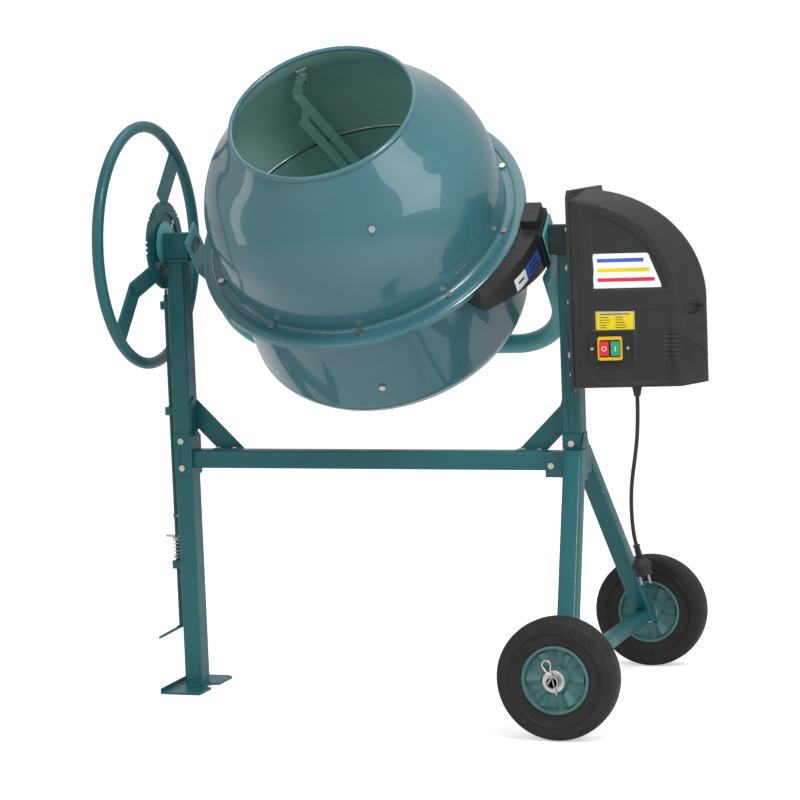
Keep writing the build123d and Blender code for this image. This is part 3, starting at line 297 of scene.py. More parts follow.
# ---- Mesh building ----
class Piece:
    """A mesh under construction, in millimetres in its own frame."""

    def __init__(self):
        self.verts, self.faces, self.looks, self.palette = [], [], [], []

    def add(self, shape, look, turn=None):
        """Add points and faces in one look, moved first if a turn is given."""
        verts, faces = shape
        start = len(self.verts)
        self.verts += [turn @ Vector(v) for v in verts] if turn else [Vector(v) for v in verts]
        self.faces += [[start + k for k in face] for face in faces]
        if look not in self.palette:
            self.palette.append(look)
        self.looks += [self.palette.index(look)] * len(faces)

    def finish(self, name, body, place=MACHINE, angle=35, bevel=None, stands_for=(), sculpt=None, wall=None):
        """Make the object: merge its points, sculpt it, place it, and ride it on its body."""
        mesh = bpy.data.meshes.new(name)
        mesh.from_pydata(self.verts, [], self.faces)
        for look in self.palette:
            mesh.materials.append(MAT[look])
        for face, look in zip(mesh.polygons, self.looks):
            face.material_index = look
        work = bmesh.new()
        work.from_mesh(mesh)
        bmesh.ops.remove_doubles(work, verts=work.verts, dist=0.01)
        bmesh.ops.recalc_face_normals(work, faces=work.faces)
        if sculpt:
            sculpt(work)
        work.transform(place)
        work.to_mesh(mesh)
        work.free()
        mesh.shade_smooth()
        mesh.set_sharp_from_angle(angle=math.radians(angle))
        shape = bpy.data.objects.new(name, mesh)
        bpy.context.scene.collection.objects.link(shape)
        if wall:
            solid = shape.modifiers.new("wall", "SOLIDIFY")
            solid.thickness, solid.offset = wall / 1000, -1
        if bevel:
            edge = shape.modifiers.new("edge", "BEVEL")
            edge.width, edge.segments = bevel / 1000, 3
            edge.limit_method, edge.angle_limit = "ANGLE", math.radians(angle)
            edge.harden_normals = True
        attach(shape, body)
        if stands_for:
            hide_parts(*stands_for)
        return shape


def smooth_line(points, per_span=8, closed=False):
    """Points on a smooth line through the given points."""
    count = len(points)
    points = [Vector(p) for p in points]
    spans = count if closed else count - 1
    result = []
    for k in range(spans):
        if closed:
            a, b, c, d = (points[(k + j) % count] for j in (-1, 0, 1, 2))
        else:
            b, c = points[k], points[k + 1]
            a = points[k - 1] if k else b * 2 - c
            d = points[k + 2] if k + 2 < count else c * 2 - b
        for step in range(per_span):
            t = step / per_span
            result.append(((b * 2) + (c - a) * t + (a * 2 - b * 5 + c * 4 - d) * t * t
                           + (b * 3 - a - c * 3 + d) * t ** 3) / 2)
    if not closed:
        result.append(points[-1])
    return result


def arc(centre, radius, start, end, steps):
    """Points of an arc in a plane, angles in degrees."""
    angles = [math.radians(start + (end - start) * k / steps) for k in range(steps + 1)]
    return [(centre[0] + radius * math.cos(a), centre[1] + radius * math.sin(a)) for a in angles]


def rounded_rect(width, height, corner, steps=4):
    """Outline of a rectangle with round corners, about its middle."""
    outline = []
    for k, (sx, sy) in enumerate(((1, 1), (-1, 1), (-1, -1), (1, -1))):
        centre = (sx * (width / 2 - corner), sy * (height / 2 - corner))
        outline += arc(centre, corner, 90 * k, 90 * k + 90, steps)
    return outline


def grid(place, rows, columns, wrap_rows=False, wrap_columns=False):
    """Mesh of a surface given as a function of two counters."""
    verts = [place(i, j) for i in range(rows) for j in range(columns)]
    faces = []
    for i in range(rows if wrap_rows else rows - 1):
        for j in range(columns if wrap_columns else columns - 1):
            i2, j2 = (i + 1) % rows, (j + 1) % columns
            faces.append((i * columns + j, i * columns + j2, i2 * columns + j2, i2 * columns + j))
    return verts, faces


def shares(start, end, steps):
    """Even steps from start towards end, without the end itself."""
    return [start + (end - start) * k / steps for k in range(steps)]


def round_outline(x, y, radius, steps=28):
    """Outline of a disc."""
    return [(x + radius * math.cos(a), y + radius * math.sin(a)) for a in shares(0, 2 * math.pi, steps)]


def lathe(profile, steps=160, closed=True, wobble=None):
    """Surface of revolution round Z of (r, h) points; wobble(r, h, angle) may change the height."""
    def place(i, j):
        angle = 2 * math.pi * i / steps
        r, h = profile[j][0], profile[j][1]
        if wobble:
            h = wobble(r, h, angle)
        return (r * math.cos(angle), r * math.sin(angle), h)
    return grid(place, steps, len(profile), wrap_rows=True, wrap_columns=closed)


def sweep(points, radius, sides=14, closed=False):
    """Round bar along a line; radius may be a function of the point's number."""
    points = [Vector(p) for p in points]
    count = len(points)
    tangents = []
    for k in range(count):
        before = points[k - 1] if k or closed else points[0]
        after = points[(k + 1) % count] if k + 1 < count or closed else points[-1]
        tangents.append((after - before).normalized())
    side = tangents[0].orthogonal().normalized()
    frames = []
    for tangent in tangents:
        side = (side - tangent * side.dot(tangent)).normalized()
        frames.append((side.copy(), tangent.cross(side)))

    def place(i, j):
        size = radius(i) if callable(radius) else radius
        angle = 2 * math.pi * j / sides
        a, b = frames[i]
        return points[i] + (a * math.cos(angle) + b * math.sin(angle)) * size
    verts, faces = grid(place, count, sides, wrap_rows=closed, wrap_columns=True)
    if not closed:
        faces.append(tuple(reversed(range(sides))))
        faces.append(tuple((count - 1) * sides + j for j in range(sides)))
    return verts, faces


def prism(outline, low, high):
    """Straight prism over an outline of (x, y) points."""
    count = len(outline)
    verts = [(x, y, low) for x, y in outline] + [(x, y, high) for x, y in outline]
    faces = [(k, (k + 1) % count, count + (k + 1) % count, count + k) for k in range(count)]
    faces += [tuple(reversed(range(count))), tuple(range(count, 2 * count))]
    return verts, faces


def ring_plate(outer, inner, low, high):
    """Flat frame between two outlines with the same number of points."""
    rings = [(outer, low), (outer, high), (inner, high), (inner, low)]

    def place(i, j):
        outline, level = rings[j]
        return (*outline[i], level)
    return grid(place, len(outer), 4, wrap_rows=True, wrap_columns=True)


def step_up(value, low, high):
    """Smooth step from zero at low to one at high."""
    t = min(1, max(0, (value - low) / (high - low)))
    return t * t * (3 - 2 * t)


# ---- Drum ----
SHEET = 2.5                          # thickness of the drum's steel
MOUTH_R, MOUTH_H = 200.5, 371        # where the cone meets the rolled rim
DRUM_SEGMENTS = 224


def make_upper_shell():
    """Spun cone with a rolled mouth, a stepped flange and its down-turned lip."""
    cone = smooth_line([(313.5, 57), (316, 90), (317, 125), (311, 190), (282, 260), (235, 320),
                        (MOUTH_R, MOUTH_H)], 10)
    outer = [(357, 38), (357, 46), (356.2, 50.2), (353, 52.2), (334.8, 52.2), (333.4, 51.8), (332.8, 50.1),
             (320, 50), (316.5, 51.4), (314.3, 54)] + [tuple(p) for p in cone]
    rim = arc((MOUTH_R - 3.9, MOUTH_H + 6), 5.4, -20, 215, 14)
    inner = [(p[0] - SHEET, p[1] - 0.6) for p in reversed(cone)] + [(309.5, 50)]
    under = [(309.5, 47.6), (353.5, 47.6), (354.6, 46), (354.6, 38)]
    skin = outer + rim
    piece = Piece()
    piece.add(lathe(skin, DRUM_SEGMENTS, closed=False), "drum")
    piece.add(lathe(skin[-1:] + inner, DRUM_SEGMENTS, closed=False), "inside")
    piece.add(lathe(inner[-1:] + under + outer[:1], DRUM_SEGMENTS, closed=False), "drum")
    piece.finish("drum_cone", "drum", DRUM, stands_for=["drum_upper"])


def make_lower_shell():
    """Bowl with a swaged bottom, a hem ring at its corner and a hemmed top edge."""
    corner = arc((264, -185), 45, -90, 0, 16)
    hem = [(291.2, -221.4), (293.6, -221.3), (294.2, -218.9)]
    outer = [(16, -230), (120, -230), (124, -228.6), (132, -228.6), (136, -230), (236, -230)]
    outer += corner[:8] + hem + corner[9:]
    outer += [(310, -100), (311, 0), (312, 40), (313.5, 43), (316, 45), (334.6, 45)]
    top = [(335, 47.4), (311, 47.4), (309, 49.6), (306.6, 49), (306, 46.5), (307.6, 44)]
    inner_corner = arc((264, -185), 42.5, 0, -90, 14)
    inner = [(308.8, 38), (308, -60)] + inner_corner + [(236, -227.5), (16, -227.5)]
    piece = Piece()
    piece.add(lathe(outer + top, DRUM_SEGMENTS, closed=False), "drum")
    piece.add(lathe(top[-1:] + inner + outer[:1], DRUM_SEGMENTS, closed=False), "inside")
    piece.finish("drum_bowl", "drum", DRUM, stands_for=["drum_lower"])
    # A bright zinc ring on the inner seam: painted highlight along the seam's hem.
    seam = Piece()
    seam.add(lathe(round_outline(307.6, 50.6, 1.3, 10), DRUM_SEGMENTS), "zinc")
    seam.finish("drum_seam_highlight_bead", "drum", DRUM)


# ---- Wheels ----
WHEEL_R = 125
AXLE = Vector(((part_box("wheel_axle")[0].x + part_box("wheel_axle")[1].x) / 2, 0, WHEEL_R / 1000))
TRACK = 0.380                        # each wheel's distance from the machine's middle, in metres
RIM_FACE = 29                        # half width of the rim's barrel
WEB_AT = 17                          # half distance between the rim's two webs
HUB_R, BARREL_R = 28, 60             # where the web starts and ends
FLUTES = 6


def wheel_place(side):
    """Wheel frame, in millimetres: Z along the axle, pointing outwards."""
    centre = Vector((AXLE.x, side * TRACK, AXLE.z))
    return Matrix.Translation(centre) @ Matrix.Rotation(math.radians(90 if side < 0 else -90), 4, "X") @ MM


def tyre_profile():
    """Half section of the tyre from its bead to the middle of the tread, mirrored."""
    bead_and_wall = [(70, 22), (70.6, 25.6), (73, 26.4), (78, 25.4), (86, 26.0), (93, 28.6), (95.6, 30.6),
                     (96.6, 32.6), (98.2, 32.6), (99.2, 31.6), (106, 32.6), (112, 32.8)]
    shoulder = [(113.4, 32.2), (114.4, 32.4), (118.4, 30.8), (121.6, 27.6), (123.2, 23.4), (124.0, 18.6)]
    groove_and_tread = [(122.6, 17.6), (122.6, 15.4), (124.2, 14.4), (WHEEL_R, 0)]
    half = bead_and_wall + shoulder + groove_and_tread
    return half + [(r, -h) for r, h in reversed(half[:-1])]


def rim_height(r, h, angle):
    """Raise conical flutes and thin ribs on the web, between hub and barrel."""
    if not HUB_R - 0.1 < r < BARREL_R + 0.1:
        return h
    sign = 1 if h > 0 else -1
    period = 2 * math.pi / FLUTES
    share = (r - HUB_R) / (BARREL_R - HUB_R)
    across = ((angle + period / 2) % period - period / 2) * r
    half_width = 7 + 9 * share
    flute = (1 - step_up(abs(across), 0, half_width)) * (4.5 + 7.5 * share)
    rib_across = (angle % period - period / 2) * r
    rib = 4 * (1 - step_up(abs(rib_across), 0.8, 1.8)) * step_up(r, 40, 46)
    return h + sign * max(flute, rib) * step_up(r, HUB_R, HUB_R + 4)


def rim_profile():
    """Half section of the rim from its bore to the barrel, mirrored."""
    half = [(14.06, 0), (14.06, 34.2), (14.8, 35), (23, 35), (24, 34)]
    half += [(25.4, WEB_AT + 6), (26.6, WEB_AT + 1.5)]
    half += [(HUB_R + 2 * k, WEB_AT + 0.9 * math.sin(math.pi * k / 16)) for k in range(17)]
    half += [(61, WEB_AT + 1.5), (62.6, RIM_FACE - 6), (63.4, RIM_FACE - 1.4), (64.6, RIM_FACE),
             (68.8, RIM_FACE), (69.8, RIM_FACE - 0.8), (70, 22)]
    return half + [(r, -h) for r, h in reversed(half[1:])]


def make_wheel_looks():
    """Both wheels' tyres and rims; the rear rim's inner side carries a hub cap."""
    for name, side in (("front", -1), ("rear", 1)):
        place = wheel_place(side)
        tyre = Piece()
        tyre.add(lathe(tyre_profile(), 160), "tyre")
        tyre.finish(f"{name}_tyre_skin", f"{name}_wheel", place, 50, stands_for=[f"{name}_tyre"])
        rim = Piece()
        rim.add(lathe(rim_profile(), 288, wobble=rim_height), "rim")
        if side > 0:
            cap = [(14.3, -35.2), (14.3, -38.4), (21, -38.4), (23.4, -37), (23.4, -35.2)]
            rim.add(lathe(cap, 64), "switch")
        rim.finish(f"{name}_rim_moulding", f"{name}_wheel", place, 40, stands_for=[f"{name}_rim"])


# ---- Motor cover ----
FACE_X, FACE_Y = 488, -135           # front left edge of the cover
SIDE_X, SIDE_Y = 705, -100           # where the flat front ends
ARCH = (475, 857)
CREASE = (230, 215)                  # half axes of the arch on the flat front
CREST = (264, 230)                   # half axes of the arch in the middle plane
COVER_LOW = 682
COVER_WALL = 2.5
FACE_TURN = math.atan2(SIDE_Y - FACE_Y, SIDE_X - FACE_X)
# Face frame: x along the flat front from its left edge, y up from the ground, z off the face.
FACE = Matrix.Translation((FACE_X, FACE_Y, 0)) @ Matrix.Rotation(FACE_TURN, 4, "Z") @ Matrix(
    ((1, 0, 0, 0), (0, 0, -1, 0), (0, 1, 0, 0), (0, 0, 0, 1)))
FACE_LONG = math.hypot(SIDE_X - FACE_X, SIDE_Y - FACE_Y)
ARCH_PANEL = (213, 195)              # half axes of the sunk panel's arch
PANEL_SUNK, LOWER_SUNK = 4.5, 2.5
VENT_Y, VENT_Z, VENT_HALF = -50, 838, (34, 12)
GROOVES = [788 - 9 * k for k in range(6)]
SWITCH_PAD = (77, 764, 50, 35)       # middle and half size of the flat the switch stands on
ROUNDING = 8                         # how far from a crease the cover is rounded
OVER = 0.68                          # share of the crest line that runs over the arch
CORNER = OVER / 2                    # where the front's top edge turns into its right edge
CREASE_RUN = ARCH[0] + CREASE[0] - FACE_X


def face_depth(u, z):
    """How deep the moulded panels sink below the flat front."""
    x = FACE_X + u * math.cos(FACE_TURN)
    ring = math.hypot((x - ARCH[0]) / ARCH_PANEL[0], (z - ARCH[1]) / ARCH_PANEL[1])
    arch = step_up((1 - ring) * 200, 0, 9) * step_up(min(u - 43, z - 883), 0, 3) * PANEL_SUNK
    pad = max(abs(u - SWITCH_PAD[0]) - SWITCH_PAD[2], abs(z - SWITCH_PAD[1]) - SWITCH_PAD[3])
    lower = step_up(min(u - 41, 204 - u, 843 - z, z - 690), 0, 4) * LOWER_SUNK * step_up(pad, 0, 3)
    strip = (1 - step_up(u, 14, 18)) * 1.6
    return arch + lower + strip


def groove_depth(x, y, z):
    """Six grooves, level on the flat front and falling to a V round the end."""
    drop = 0.45 * max(0, 100 - abs(y))
    nearest = min(abs(z + drop - line) for line in GROOVES)
    return 2.4 * step_up(x, 672, 678) * (1 - step_up(nearest, 1.0, 3.0))


def vent_depth(x, y, z):
    """Depth of the oval air inlet in the end."""
    reach = math.hypot((y - VENT_Y) / VENT_HALF[0], (z - VENT_Z) / VENT_HALF[1])
    return 8 * (1 - step_up(reach, 0.8, 0.98)) if x > 700 else 0


def cover_row(t):
    """Front crease point and crest point at a share t of the way over and down."""
    if t < OVER:
        turn = math.pi / 2 * (1 - t / OVER)
        crease = Vector((ARCH[0] + CREASE[0] * math.cos(turn), 0, ARCH[1] + CREASE[1] * math.sin(turn)))
        crest = Vector((ARCH[0] + CREST[0] * math.cos(turn), 0, ARCH[1] + CREST[1] * math.sin(turn)))
    else:
        z = ARCH[1] + (COVER_LOW - ARCH[1]) * (t - OVER) / (1 - OVER)
        crease = Vector((ARCH[0] + CREASE[0], 0, z))
        crest = Vector((ARCH[0] + CREST[0], 0, z))
    for point in (crease, crest):
        point.x = max(point.x, FACE_X)
    crease.y = FACE_Y + (crease.x - FACE_X) * math.tan(FACE_TURN)
    return crease, crest


def height_share(z):
    """Share t of a height on the straight part of the end."""
    return OVER + (1 - OVER) * (ARCH[1] - z) / (ARCH[1] - COVER_LOW)


# The rows are closer together where the grooves are.
TOP_SHARES = shares(0, CORNER, 84)
SIDE_SHARES = (shares(CORNER, OVER, 60) + shares(OVER, height_share(796), 22)
               + shares(height_share(796), height_share(734), 56) + shares(height_share(734), 1, 16) + [1])
BAND_SHARES = TOP_SHARES + SIDE_SHARES
BAND_COLUMNS = 105


def crown_share(v):
    """Share of the drop from crest to crease: almost straight flanks that meet in a rounded ridge."""
    ridge = 0.12
    return (math.hypot(v, ridge) - ridge) / (math.hypot(1, ridge) - ridge)


def end_point(y, z, depth):
    """A point on the cover's end, or below its surface."""
    fall = crown_share(y / -(FACE_Y + CREASE_RUN * math.tan(FACE_TURN)))
    return Vector((ARCH[0] + CREST[0] + (CREASE[0] - CREST[0]) * fall - depth, y, z))


def band_point(i, j):
    """A point of the crowned surface over the arch and down the end."""
    crease, crest = cover_row(BAND_SHARES[i])
    v = 2 * j / (BAND_COLUMNS - 1) - 1
    level = crest.lerp(crease, crown_share(v))
    return Vector((level.x, v * -crease.y, level.z))


def face_patch(side):
    """Flat side of the cover as a grid between its straight edges and the arch."""
    columns = TOP_SHARES + [CORNER]
    rows = list(reversed(SIDE_SHARES))

    def edge_point(share):
        crease, _ = cover_row(share)
        return Vector(((crease.x - FACE_X) / math.cos(FACE_TURN), crease.z))

    def place(i, j):
        s, t = columns[j] / CORNER, (1 - rows[i]) / (1 - CORNER)
        low_left, low_right = Vector((0, COVER_LOW)), Vector((FACE_LONG, COVER_LOW))
        high_left, high_right = edge_point(0), edge_point(CORNER)
        # Both pairs of edges blended, less the blend of the four corners.
        flat = (low_left.lerp(low_right, s) * (1 - t) + edge_point(columns[j]) * t
                + low_left.lerp(high_left, t) * (1 - s) + edge_point(rows[i]) * s
                - low_left.lerp(low_right, s) * (1 - t) - high_left.lerp(high_right, s) * t)
        point = FACE @ Vector((flat.x, flat.y, 0))
        return Vector((point.x, side * -point.y, point.z))
    return grid(place, len(rows), len(columns))


def sculpt_cover(work):
    """Round the cover's long creases, then press its panels, grooves and air inlet."""
    creases = [band_point(i, j) for i in range(len(BAND_SHARES)) for j in (0, BAND_COLUMNS - 1)]
    finder = KDTree(len(creases))
    for k, point in enumerate(creases):
        finder.insert(point, k)
    finder.balance()
    near = [v for v in work.verts if finder.find(v.co)[2] < ROUNDING]
    bottom = [v for v in near if v.co.z < COVER_LOW + 0.01]
    edge = [v for v in near if v.co.x < FACE_X + 0.01]
    for _ in range(14):
        bmesh.ops.smooth_vert(work, verts=near, factor=0.5, use_axis_x=True, use_axis_y=True, use_axis_z=True)
        for v in bottom:
            v.co.z = COVER_LOW
        for v in edge:
            v.co.x = FACE_X
    work.normal_update()
    to_face = FACE.inverted()
    sunk = []
    for v in work.verts:
        along = to_face @ v.co
        depth = groove_depth(*v.co) + vent_depth(*v.co)
        if abs(along.z) < 0.4 and v.co.y < 0:
            depth += face_depth(along.x, along.y) * step_up(finder.find(v.co)[2], 4, 9)
        sunk.append(v.normal * depth)
    for v, move in zip(work.verts, sunk):
        v.co -= move


def make_cover():
    """Moulded motor cover with a rounded end, sunk panels, grooves and an air inlet."""
    cover = Piece()
    front = face_patch(-1)
    back = face_patch(1)
    rows, columns = len(BAND_SHARES), BAND_COLUMNS
    band = grid(band_point, rows, columns)
    for surface in (front, back, band):
        cover.add(surface, "cover")
    across = len(TOP_SHARES) + 1
    floor = front[0][:across] + band[0][-columns:][1:-1] + list(reversed(back[0][:across]))
    cover.add((floor, [tuple(range(len(floor)))]), "cover")
    cover.finish("cover_shell", "frame", angle=50, stands_for=["housing_cover"], sculpt=sculpt_cover,
                 wall=COVER_WALL)
    inlet = Piece()
    ellipse = [(VENT_HALF[0] * math.cos(a), VENT_HALF[1] * math.sin(a)) for a in shares(0, 2 * math.pi, 64)]
    lip = [end_point(VENT_Y + y, VENT_Z + z, 0) for y, z in ellipse]
    inlet.add(sweep(lip, 1.2, 10, closed=True), "cover")
    throat = [[end_point(VENT_Y + y * 0.97, VENT_Z + z * 0.95, depth) for y, z in ellipse]
              for depth in (0.5, 7.5)]
    inlet.add(grid(lambda i, j: throat[i][j], 2, len(ellipse), wrap_columns=True), "cover")
    # The inlet's back is shut with a black sheet: painted shade for the dark hole behind it.
    inlet.add((throat[1], [tuple(range(len(ellipse)))]), "black_film")
    inlet.finish("cover_inlet", "frame")


# ---- Labels and stickers ----
FILM = 0.35                          # how far a plate stands off the face
PRINT = 0.12                         # how far a printed bar stands off its plate
RATING_MIDDLE = (88, 818)
BUTTON_TOP = 15.5                    # how far the buttons stand off the face
BUTTON_STEP = 11.5                   # from the switch's middle to each button's


def moved(outline, u, z):
    """An outline shifted on the face."""
    return [(x + u, y + z) for x, y in outline]


def bar(u, z, length, height):
    """Outline of a plain bar from its lower left corner."""
    return [(u, z), (u + length, z), (u + length, z + height), (u, z + height)]


def make_labels():
    """A blank white plate with plain colour bars, and a blank yellow plate with a border and bars."""
    level = -PANEL_SUNK + FILM
    safety = Piece()
    plate = [(47, 958), (45, 956), (45, 889), (47, 887), (183, 887), (185, 889), (184, 894)]
    plate += [(u, 950 - (u - 162) * 2.5) for u in (178, 172, 166)]
    plate += reversed(arc((154, 950), 8, 90, 0, 5))
    safety.add(prism(list(reversed(plate)), -PANEL_SUNK - 0.1, level), "white_film")
    for row, (look, length) in enumerate((("blue_film", 96), ("yellow_film", 108), ("red_film", 118))):
        stripe = bar(54, 940 - 20 * row, length, 8)
        safety.add(prism(stripe, level, level + PRINT), look)
    safety.finish("safety_plate", "frame", MACHINE @ FACE, stands_for=["labels"])

    rating = Piece()
    level = -LOWER_SUNK + FILM
    outline = moved(rounded_rect(80, 47, 2), *RATING_MIDDLE)
    rating.add(prism(outline, -LOWER_SUNK - 0.1, level), "yellow_film")
    border = [moved(rounded_rect(*size), *RATING_MIDDLE) for size in ((76, 43, 1.6), (74, 41, 1.2))]
    rating.add(ring_plate(*border, level, level + PRINT), "blue_film")
    chance = random.Random(7)
    rating.add(prism(bar(56, 832, 62, 3.0), level, level + PRINT), "blue_film")
    for row in range(5):
        for column in range(2):
            length = chance.uniform(14, 26)
            line = bar(56 + 33 * column, 826 - 5.2 * row, length, 1.5)
            rating.add(prism(line, level, level + PRINT), "black_film")
    rating.finish("rating_plate", "frame", MACHINE @ FACE)


def make_button_marks():
    """A ring on the stop button and a bar on the start button."""
    u, z = SWITCH_PAD[:2]
    levels = BUTTON_TOP - 0.3, BUTTON_TOP + 0.15
    stop = Piece()
    rings = [round_outline(u - BUTTON_STEP, z, radius) for radius in (5, 3.8)]
    stop.add(ring_plate(*rings, *levels), "white_film")
    stop.finish("stop_mark", "stop", MACHINE @ FACE)
    start = Piece()
    start.add(prism(bar(u + BUTTON_STEP - 0.8, z - 5.5, 1.6, 11), *levels), "white_film")
    start.finish("start_mark", "start", MACHINE @ FACE)


# ---- Small parts ----
# Plug frame: z from the cable's end towards the pins.
PLUG = Matrix.Translation((596, -85, 349)) @ Matrix.Rotation(math.radians(180 - 13), 4, "Y")


def make_plug():
    """Plug with a ribbed strain relief, a wide grip flange and two round pins."""
    profile = [(4.3, 0), (7, 0), (7.5, 1), (7.5, 5)]
    for k in range(5):
        base = 7 + 4 * k
        rib_r = 7.8 + 0.3 * k
        profile += [(5.6, base - 1), (5.6, base + 0.4), (rib_r, base + 1), (rib_r, base + 2.4)]
    profile += [(8, 27), (12, 30), (17, 36), (20.6, 40.5), (21.5, 42), (21.5, 47), (20.5, 50), (18.2, 51.5),
                (17.5, 53), (17.3, 65), (16.6, 66), (0, 66)]
    plug = Piece()
    plug.add(lathe(profile + [(0, 0)], 72, closed=False), "cable")
    for k in range(10):
        turn = Matrix.Rotation(math.radians(36 * k), 4, "Z")
        plug.add(sweep([(20.4, 0, 41), (21.9, 0, 42.6), (21.9, 0, 47), (20.8, 0, 50)], 1.0, 8), "cable", turn)
        plug.add(sweep([(17.6, 0, 52), (17.6, 0, 64)], 0.8, 8), "cable", turn)
    plug.finish("plug_moulding", "frame", MACHINE @ PLUG, 40, stands_for=["plug_body"])
    pins = Piece()
    for x in (-9.5, 9.5):
        shank = [(0, 64), (2.4, 64), (2.4, 82), (2.0, 84), (1.1, 85), (0, 85)]
        pins.add(lathe(shank, 32, closed=False), "steel", Matrix.Translation((x, 0, 0)))
    pins.finish("plug_pin_pair", "frame", MACHINE @ PLUG, 50, stands_for=["plug_pins"])


SPRING_X, SPRING_LOW, SPRING_HIGH = -480, 291.6, 333.4
SPRING_R, WIRE_R = 10, 1.2


def make_spring():
    """Pedal's return spring with closed ends."""
    turns, steps = 7, 32
    line = []
    for k in range(turns * steps + 1):
        share = k / (turns * steps)
        rise = step_up(share, 0.06, 0.94) * 0.3 + min(1, max(0, (share - 0.1) / 0.8)) * 0.7
        turn = 2 * math.pi * turns * share
        line.append((SPRING_X + SPRING_R * math.cos(turn), SPRING_R * math.sin(turn),
                     SPRING_LOW + (SPRING_HIGH - SPRING_LOW) * rise))
    spring = Piece()
    spring.add(sweep(line, WIRE_R, 10), "zinc")
    shape = spring.finish("return_spring_coil", "frame", stands_for=["return_spring"])
    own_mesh(shape)


CLIP_OUT = 421                       # distance of the clips from the machine's middle
CLIP_LEAN = -14


def make_clips():
    """Hairpin clips: one leg through the axle, a round loop, and a leg that crosses in front."""
    clips = Piece()
    for side in (-1, 1):
        loop = [(-4 + 9 * math.cos(a), side * 1.0, 36 + 9 * math.sin(a))
                for a in [math.radians(-35 + 245 * k / 8) for k in range(9)]]
        line = [(0, 0, -27), (0, 0, -10), (0, 0, 10), (1.6, 0, 24)] + loop + [
            (-6.5, side * 4, 22), (1, side * 5.5, 13), (-8, side * 5.5, 1), (-17, side * 5, -5)]
        middle = Matrix.Translation((LEG_FOOT.x, side * CLIP_OUT, WHEEL_R))
        lean = Matrix.Rotation(math.radians(CLIP_LEAN), 4, "Y")
        clips.add(sweep(smooth_line(line, 8), 1.7, 12), "zinc", middle @ lean)
    clips.finish("clip_wires", "frame", stands_for=["hairpin_clips"])


DISC_X = -474.4                      # inner face of the notched disc


def make_disc_hub():
    """Pressed hub of the notched disc, on the side that looks at the drum."""
    dish = [(16.2, 0), (16.2, 2.2), (24, 3.0), (36, 2.2), (43, 1.2), (45, 0), (48, -0.4), (52, -0.4)]
    hub = Piece()
    hub.add(lathe(dish, 96, closed=False), "yoke")
    turn = Matrix.Translation((DISC_X, 0, TILT.z * 1000)) @ Matrix.Rotation(math.radians(90), 4, "Y")
    hub.finish("notched_disc_hub", "yoke", MACHINE @ turn)


GUARD_ARC = Vector((95, 0)), 305     # middle and radius of the guard's outer wall


def make_guard_stickers():
    """A plain blue sticker and a plain white one with bars, bent round the guard's outer wall."""
    centre, radius = GUARD_ARC

    def on_guard(angle, h, off):
        turn = math.radians(angle)
        reach = radius + off
        return Vector((centre.x + reach * math.cos(turn), centre.y + reach * math.sin(turn), h))

    def patch(piece, look, start, end, low, high, off):
        def place(i, j):
            return on_guard(start + (end - start) * i / 14, low + (high - low) * j / 3, off)
        piece.add(grid(place, 15, 4), look)
    stickers = Piece()
    patch(stickers, "blue_film", -10.5, -21.2, -10, 24, 0.3)
    for low in (-3, 10):
        patch(stickers, "black_film", -12.5, -19.2, low, low + 5, 0.45)
    patch(stickers, "white_film", -21.6, -28.8, -12, 22, 0.3)
    patch(stickers, "black_film", -23.4, -27.0, 2, 8, 0.45)
    stickers.finish("guard_stickers", "yoke", DRUM)


LEG_TOP, LEG_FOOT = Vector((455, 32, 541)), Vector((505, 322, WHEEL_R))
LEG_END_Y, LEG_END_Z = 338, 110.5    # where the leg is cut off behind and under the axle
LEG_SECTION = (40, 41.6)             # the leg's level section
REAR_LEG_IN = 8.5                    # the rear leg's top sits this much nearer the post
CROSS_TUBE = 29.6                    # side of the square tube around the axle


def capped(rows, columns, place):
    """Tube given as a function of two counters, closed at both ends."""
    skin, faces = grid(place, rows, columns, wrap_columns=True)
    last = (rows - 1) * columns
    faces += [tuple(range(columns)), tuple(last + k for k in reversed(range(columns)))]
    return skin, faces


def make_legs():
    """The stand's two tube legs, cut level at the collar and upright at the wheel."""
    outline = rounded_rect(*LEG_SECTION, 5)
    heights = [LEG_TOP.z, 400, 250, 180] + [170 - 4 * k for k in range(15)] + [LEG_END_Z]
    legs = Piece()
    for side in (-1, 1):
        top = LEG_TOP - Vector((REAR_LEG_IN if side > 0 else 0, 0, 0))

        def place(i, j):
            middle = top.lerp(LEG_FOOT, (LEG_TOP.z - heights[i]) / (LEG_TOP.z - LEG_FOOT.z))
            x, y = outline[j]
            return (middle.x + x, side * min(LEG_END_Y, middle.y + y), heights[i])
        legs.add(capped(len(heights), len(outline), place), "frame")
    legs.finish("leg_tubes", "frame", bevel=0.8, stands_for=["stand_legs"])


def make_cross_tube():
    """Square tube around the axle, between the legs' feet."""
    outline = rounded_rect(CROSS_TUBE, CROSS_TUBE, 5)
    ends = (-LEG_END_Y, 0, LEG_END_Y)

    def place(i, j):
        x, z = outline[j]
        return (LEG_FOOT.x + x, ends[i], LEG_FOOT.z + z)
    tube = Piece()
    tube.add(capped(len(ends), len(outline), place), "frame")
    tube.finish("cross_tube", "frame", bevel=0.6, stands_for=["stand_cross_tube"])


def weld_bead(points, radius, chance):
    """Rippled bead along a line."""
    line = smooth_line(points, 9)
    sizes = [radius * (1 + 0.16 * math.sin(1.9 * k) + chance.uniform(-0.08, 0.08)) for k in range(len(line))]
    return sweep(line, lambda k: sizes[k], 10)


LEFT_BEARING, RIGHT_BEARING = (-470, -413), (411, 479)     # the bearing blocks' ends in x
BEARING_LOW = 957.5
LEFT_POST_X = -447
FOOT_TOP = 6
YOKE_FLAT = 403                      # half width between the yoke's flats


